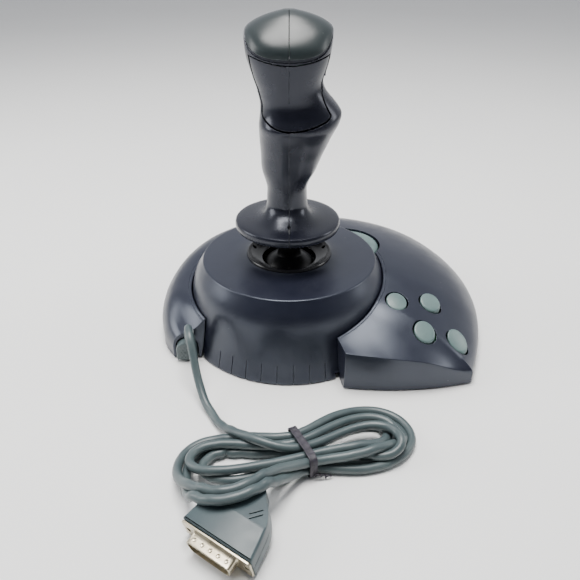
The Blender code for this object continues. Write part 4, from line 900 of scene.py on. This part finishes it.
def casing_ring(x, y, angle, hub_deg, filled):
    inner, edge, bend, rounding = smooth_table(CASING_STATIONS, angle)
    rounding = min(rounding, 1.0)

    # Towards the cord the lobe's crown sinks to a saddle that runs over the strain relief.
    sink = min(max((angle - 366.0) / 31.5, 0.0), 1.0)
    sink *= sink * (3 - 2 * sink)

    def height(share):
        full = edge + (inner - edge) * max(0.0, 1 - share ** bend) ** rounding
        return full + sink * (min(full, smooth_table(LOBE_END, share)[0]) - full)

    top = inner
    reach = hub_radius(top) + CASING_SEAM
    start, end = Vector(ray(hub_deg, reach)), Vector((x, y))
    along, span = (end - start).normalized(), (end - start).length
    outer_round, lip_round = (0.45 if angle < 146.0 else 1.1), 0.7

    def drop(distance, radius):
        left = max(0.0, radius - distance)
        return radius - math.sqrt(max(0.0, radius * radius - left * left))

    def at(share, inwards, z):
        p = start + along * (span * share + inwards)
        return (p.x, p.y, z)

    def skin(distance):
        share = 1 - distance / span
        groove = 0.35 if 1.75 < span - distance < 2.25 else 0.0
        return height(share) - drop(distance, outer_round) - drop(span - distance, lip_round) - groove

    wall_top = skin(0.0)
    ring = [at(1.0, 0.0, z) for z in (CASING_BOTTOM, CASING_BOTTOM + 0.6)]
    rise = wall_top - CASING_BOTTOM - 0.6
    ring += [at(1.0, 0.0, CASING_BOTTOM + 0.6 + rise * k / 6) for k in range(1, 6)]
    near = [0.0, 0.08, 0.2, 0.38, 0.62, 0.9, 1.2, 1.7, 2.4, 3.4, 4.6, 6.2]
    far = [span - d for d in (2.9, 2.35, 2.2, 1.8, 1.65, 1.0, 0.7, 0.45, 0.22, 0.08, 0.0)]
    middle = [6.2 + (far[0] - 6.2) * (k / 17) for k in range(1, 17)]
    for distance in near + middle + far:
        ring.append(at(1.0, -distance, skin(distance)))
    count = 10
    if filled:
        for i in range(count):
            z = top - 4.0 - (top - 4.0 - CASING_BOTTOM) * i / (count - 1)
            ring.append((*ray(hub_deg, hub_radius(z) + CASING_SEAM), z))
    else:
        flare = hub_radius(top - 4.0) - hub_radius(top)
        ring += [at(0.0, flare, top - 4.0), at(0.0, flare + CASING_WALL - 0.3, top - 4.0)]
        for s in (0.12, 0.28, 0.45, 0.62, 0.76, 0.87, 0.95, 1.0):
            p = start + along * (CASING_WALL + (span - 2 * CASING_WALL) * s)
            ring.append((p.x, p.y, height(s) - CASING_WALL))
    ring.append(at(1.0, -CASING_WALL, CASING_BOTTOM))
    return ring


def make_casing():
    points = casing_outline()
    first, last = points[0][2], points[-1][2]
    sections = []
    for x, y, angle in points:
        hub_deg = angle + (WING_END_DEG - first) * max(0.0, 1 - (angle - first) / 12.0)
        hub_deg += (LOBE_END_DEG - last) * max(0.0, 1 - (last - angle) / 45.0)
        sections.append(casing_ring(x, y, angle, hub_deg, min(angle - first, last - angle) < FILLED_DEG))
    casing = place("casing_moulding", lofted(sections), SHELL, 32)
    cutters = [rod(BUTTON_WELL, 0.0, 70.0, (*centre, 0), steps=64) for centre, _, _ in BASE_BUTTONS]
    cutters.append(rod(WHEEL_NOTCH, WHEEL_BOTTOM - 0.8, 70.0, (*WHEEL_CENTRE, 0), steps=110))
    cutters.append(extruded(arch(7.4, 16.6, -1.0), -20, 12,
                            Matrix.Translation((RELIEF_X, 46.0, 0)) @ UPRIGHT))
    carve(casing, "DIFFERENCE", *cutters)
    belongs(casing, "base", "charcoal_plastic", "base_casing")


def make_buttons():
    for i, ((x, y), top, (gx, gy)) in enumerate(BASE_BUTTONS):
        foot, top = 14.0, top + 0.4

        def ring(radius, base, slope):
            return [(x + dx, y + dy, base + slope * (gx * dx + gy * dy))
                    for dx, dy in (ray(360 * k / 56, radius) for k in range(56))]

        rings = [ring(2.6, foot, 0)]
        tall = top - 11.0 > foot + 1.0
        rings.append(ring(2.6, top - 11.0, 0) if tall else ring(BUTTON_RADIUS, foot + 1.2, 0))
        rings.append(ring(BUTTON_RADIUS, max(top - 9.0, foot + 1.4), 0))
        for inwards, drop in ((0.0, 1.25), (0.06, 0.85), (0.2, 0.52), (0.45, 0.26), (0.8, 0.10), (1.2, 0.04),
                              (2.0, -0.05), (3.4, -0.2), (4.8, -0.28), (6.0, -0.3)):
            rings.append(ring(BUTTON_RADIUS - inwards, top - drop, 1))
        cap = place(f"button_cap_{i + 1}", lofted(rings), BUTTON, 40)
        belongs(cap, f"base_button_{i + 1}", "green_grey_plastic", f"base_button_{i + 1}")


def make_wheel():
    ribs, each = 72, 6
    rings = []
    for z, inwards in ((WHEEL_BOTTOM, 1.3), (WHEEL_BOTTOM + 0.35, 0.5), (WHEEL_BOTTOM + 1.0, 0.0),
                       (WHEEL_TOP - 2.2, 0.0), (WHEEL_TOP - 1.3, 0.5), (WHEEL_TOP - 0.7, 1.3),
                       (WHEEL_TOP - 0.3, 2.2),
                       (WHEEL_TOP - 0.05, 3.4), (WHEEL_TOP, 4.4), (WHEEL_TOP, 9.0)):
        ring = []
        for k in range(ribs * each):
            ridge = 0.5 * (1 + math.cos(2 * math.pi * k / each))
            depth = 0.62 * (1 - ridge) if inwards < 3.0 else 0.0
            dx, dy = ray(360 * k / (ribs * each), WHEEL_RADIUS - inwards - depth)
            ring.append((WHEEL_CENTRE[0] + dx, WHEEL_CENTRE[1] + dy, z))
        rings.append(ring)
    wheel = place("thumbwheel", lofted(rings), BUTTON, 40)
    carve(wheel, "DIFFERENCE", rod(3.4, 30.0, 60.0, (*WHEEL_CENTRE, 0)))
    belongs(wheel, "throttle", "green_grey_plastic", "throttle_wheel")


def make_dome():
    """The dust cover under the hand rest: a smooth dome and its collar."""
    centre, radius, wall = 33.0, 23.5, 1.3

    def cup(radius, steps):
        turns = [math.radians(20 + 46 * k / steps) for k in range(steps + 1)]
        return [(radius * math.sin(a), centre + radius * math.cos(a)) for a in turns]

    skin, lining = cup(radius, 24), cup(radius - wall, 8)[::-1]
    collar = [(5.35, 71.0), (6.5, 71.0), (7.05, 70.6), (7.2, 70.0), (7.2, 58.5), (7.5, 56.4)]
    # Its near-black finish is partly the rubber's own black and partly painted shade of the hollow inside the
    # collar.
    dome = place("dome_boot", revolved(collar + skin + lining + [(5.35, lining[-1][1])], steps=96), DOME_BLACK_PAINTED_SHADE)
    belongs(dome, "stick", "black_rubber", "dust_dome")


# ---- grip ----
def grip_ring(row, inwards=0.0, points=72):
    z, right, left, front, back, square = row
    middle, half = (front - back) / 2, (front + back) / 2 - inwards
    ring = []
    for k in range(points):
        c, s = ray(360 * (k + 0.5) / points, 1.0)
        x = math.copysign(abs(c) ** (2 / square), c) * ((right if c > 0 else left) - inwards)
        ring.append((x, middle + math.copysign(abs(s) ** (2 / square), s) * half, z))
    return ring


def grip_rows(low, high, step):
    count = round((high - low) / step)
    heights = [low + (high - low) * k / count for k in range(count + 1)]
    return [(z, *smooth_table(GRIP_SECTIONS, z)) for z in heights]


def trigger_outline():
    outline = []
    for points in (TRIGGER_TOP, TRIGGER_SIDE, TRIGGER_SHELF):
        outline += [(p.x, p.y) for p in through([(x, z, 0) for x, z in points], 1.6)][:-1]
    return outline


def front_extruded(outline, low, high):
    """An outline in X and Z, extruded between two places along Y."""
    return extruded(outline, -high, -low, UPRIGHT)


def crease_slab(lift, low, high):
    """A block between two heights over the cap's sloping crease, all of it lifted."""
    turn = Matrix.Translation((0, 0, CAP_CREASE + lift)) @ Matrix.Rotation(math.atan(CAP_SLOPE), 4, "X")
    return block((90.0, 90.0, high - low), (0, 0, 0), turn @ Matrix.Translation((0, 0, (low + high) / 2)))


def make_grip():
    upper = grip_rows(92.0, 197.0, 1.5) + grip_rows(197.7, 203.2, 0.55)
    body = place("grip_body", lofted([grip_ring(row) for row in REST_ROWS + upper]), GRIP_SHELL, 40)
    trigger = copy_of(body, "trigger_moulding")
    rows = [row for row in GRIP_SECTIONS if 97.0 <= row[0] <= 196.0]
    carve(body, "DIFFERENCE", lofted([grip_ring(row, 2.5, 28) for row in rows]),
          rod(8.0, 60.0, 110.0, (0, 0, 0)),
          rod(1.1, 80.0, 95.0, (0.0, 22.6, 0), steps=24))
    cap = copy_of(body, "cap_moulding", CAP)
    carve(cap, "INTERSECT", crease_slab(GAP / 2, 0.0, 60.0))
    carve(cap, "DIFFERENCE", block((0.34, 60.0, 40.0), (0, 28.0, 196.0)))
    belongs(cap, "grip", "cap_grey_plastic", "grip_cap")
    carve(body, "DIFFERENCE", crease_slab(-GAP / 2, 0.0, 60.0))

    # A fine step under the cap's edge, cut into the halves.
    step = place("step", crease_slab(0.0, -1.5, 0.0))
    carve(step, "DIFFERENCE", lofted([grip_ring(row, 0.75) for row in upper if row[0] >= 150.0]))
    carve(body, "DIFFERENCE", step)

    outline = trigger_outline()
    opening = [(x, z - 0.5 if z < 150.0 else z) for x, z in inset(outline, -0.7)]
    cutters = [front_extruded(opening, OPENING_BACK, 40.0), rod(4.6, -60.0, 0.0, (0, 0, HAT_PIVOT[1]), "Y")]
    for x, z in THUMB_BUTTONS:
        cutters.append(rod(THUMB_RADIUS + GAP, -60.0, -6.0, (x, 0, z), "Y"))
    carve(body, "DIFFERENCE", *cutters)
    tongue = copy_of(body, "seam_tongue")
    carve(tongue, "INTERSECT", block((1.6, 120.0, 118.0), (0, 0, 142.0)))
    carve(tongue, "INTERSECT", lofted([grip_ring(row, 1.1) for row in GRIP_SECTIONS]))
    belongs(tongue, "grip", "charcoal_plastic")
    y_pin, z_pin = TRIGGER_PIVOT
    for side, name in ((1, "right"), (-1, "left")):
        half = copy_of(body, f"grip_{name}_moulding")
        carve(half, "INTERSECT", block((100.0, 120.0, 300.0), (side * (50.0 + GAP / 2), 0, 140.0)))
        added = [block((11.4, 6.0, 6.0), (side * 14.7, 5.0, z_pin)),
                 block((3.0, 13.5, 6.4), (side * 9.0, 9.0, z_pin + 0.2), bevel=0.6)]
        bored = [rod(TRIGGER_BORE, -14.0, 14.0, (0, y_pin, z_pin), "X")]
        for y, z, reach in GRIP_SCREWS:
            ends = sorted((side * (GAP / 2 + 0.1), side * reach[side]))
            added.append(rod(4.4 if side > 0 else 3.6, *ends, (0, y, z), "X"))
            bored.append(rod(1.85, *sorted((-side, side * 10.0)), (0, y, z), "X"))
            if side > 0:
                bored.append(rod(3.0, 9.0, 40.0, (0, y, z), "X"))
        carve(half, "UNION", *added)
        carve(half, "DIFFERENCE", *bored)
        belongs(half, "grip", "charcoal_plastic", f"grip_{name}_shell")
    bpy.data.objects.remove(body)

    carve(trigger, "INTERSECT", front_extruded(outline, TRIGGER_BACK, 40.0))
    rows = [row for row in GRIP_SECTIONS if 128.0 <= row[0] <= 199.0]
    carve(trigger, "DIFFERENCE", lofted([grip_ring(row, 2.8, 32) for row in rows]))
    carve(trigger, "UNION", block((7.0, 10.0, 8.0), (0, y_pin + 1.6, z_pin)))
    slit = extruded([(18.65, 158.5), (21.15, 176.0), (40.0, 176.0), (40.0, 158.5)], -0.28, 0.28, CYCLED)
    carve(trigger, "DIFFERENCE", rod(TRIGGER_BORE, -14.0, 14.0, (0, y_pin, z_pin), "X"), slit)
    belongs(trigger, "trigger", "charcoal_plastic", "trigger")


def make_thumb_controls():
    y, z = HAT_PIVOT
    profile = rounded([(0.0, -5.0), (1.5, -5.0, 0.4), (2.2, -4.3, 0.4), (2.2, 9.6, 0.6),
                       (HAT_RADIUS, 9.8, 0.5),
                       (HAT_RADIUS, 11.0, 0.6), (5.4, 11.6, 0.6), (4.0, 11.35, 1.0), (0.0, 11.0)],
                      closed=False)
    hat = place("hat_cap", revolved(profile, (0, y, z), 72, turn=UPRIGHT), BUTTON)
    notches = [rod(1.1, -16.0, -9.0, (dx, y, z + dz), "Y", 20) for dx, dz in
               (ray(90 * k, HAT_RADIUS + 0.2) for k in range(4))]
    carve(hat, "DIFFERENCE", *notches)
    belongs(hat, "hat", "green_grey_plastic", "hat_switch")
    sections = [(row[0], row[4]) for row in GRIP_SECTIONS]
    for i, (x, z_button) in enumerate(THUMB_BUTTONS):
        edge = smooth_table(sections, z_button)[0] + 1.8 - THUMB_DEPTH - (3.0 if x else 0.0)
        profile = rounded([(0.0, 0.0), (2.2, 0.0, 0.3), (2.2, 6.0, 0.2), (THUMB_RADIUS, 6.0, 0.3),
                           (THUMB_RADIUS, edge - 0.1, 0.7), (2.4, edge - 0.02, 0.8), (0.0, edge)],
                          closed=False)
        cap = place(f"thumb_cap_{i + 1}", revolved(profile, (x, -THUMB_DEPTH, z_button), 48, turn=UPRIGHT),
                    BUTTON)
        belongs(cap, f"thumb_button_{i + 1}", "green_grey_plastic", f"thumb_button_{i + 1}")


make_hub()
make_casing()
make_buttons()
make_wheel()
make_dome()
make_grip()
make_thumb_controls()
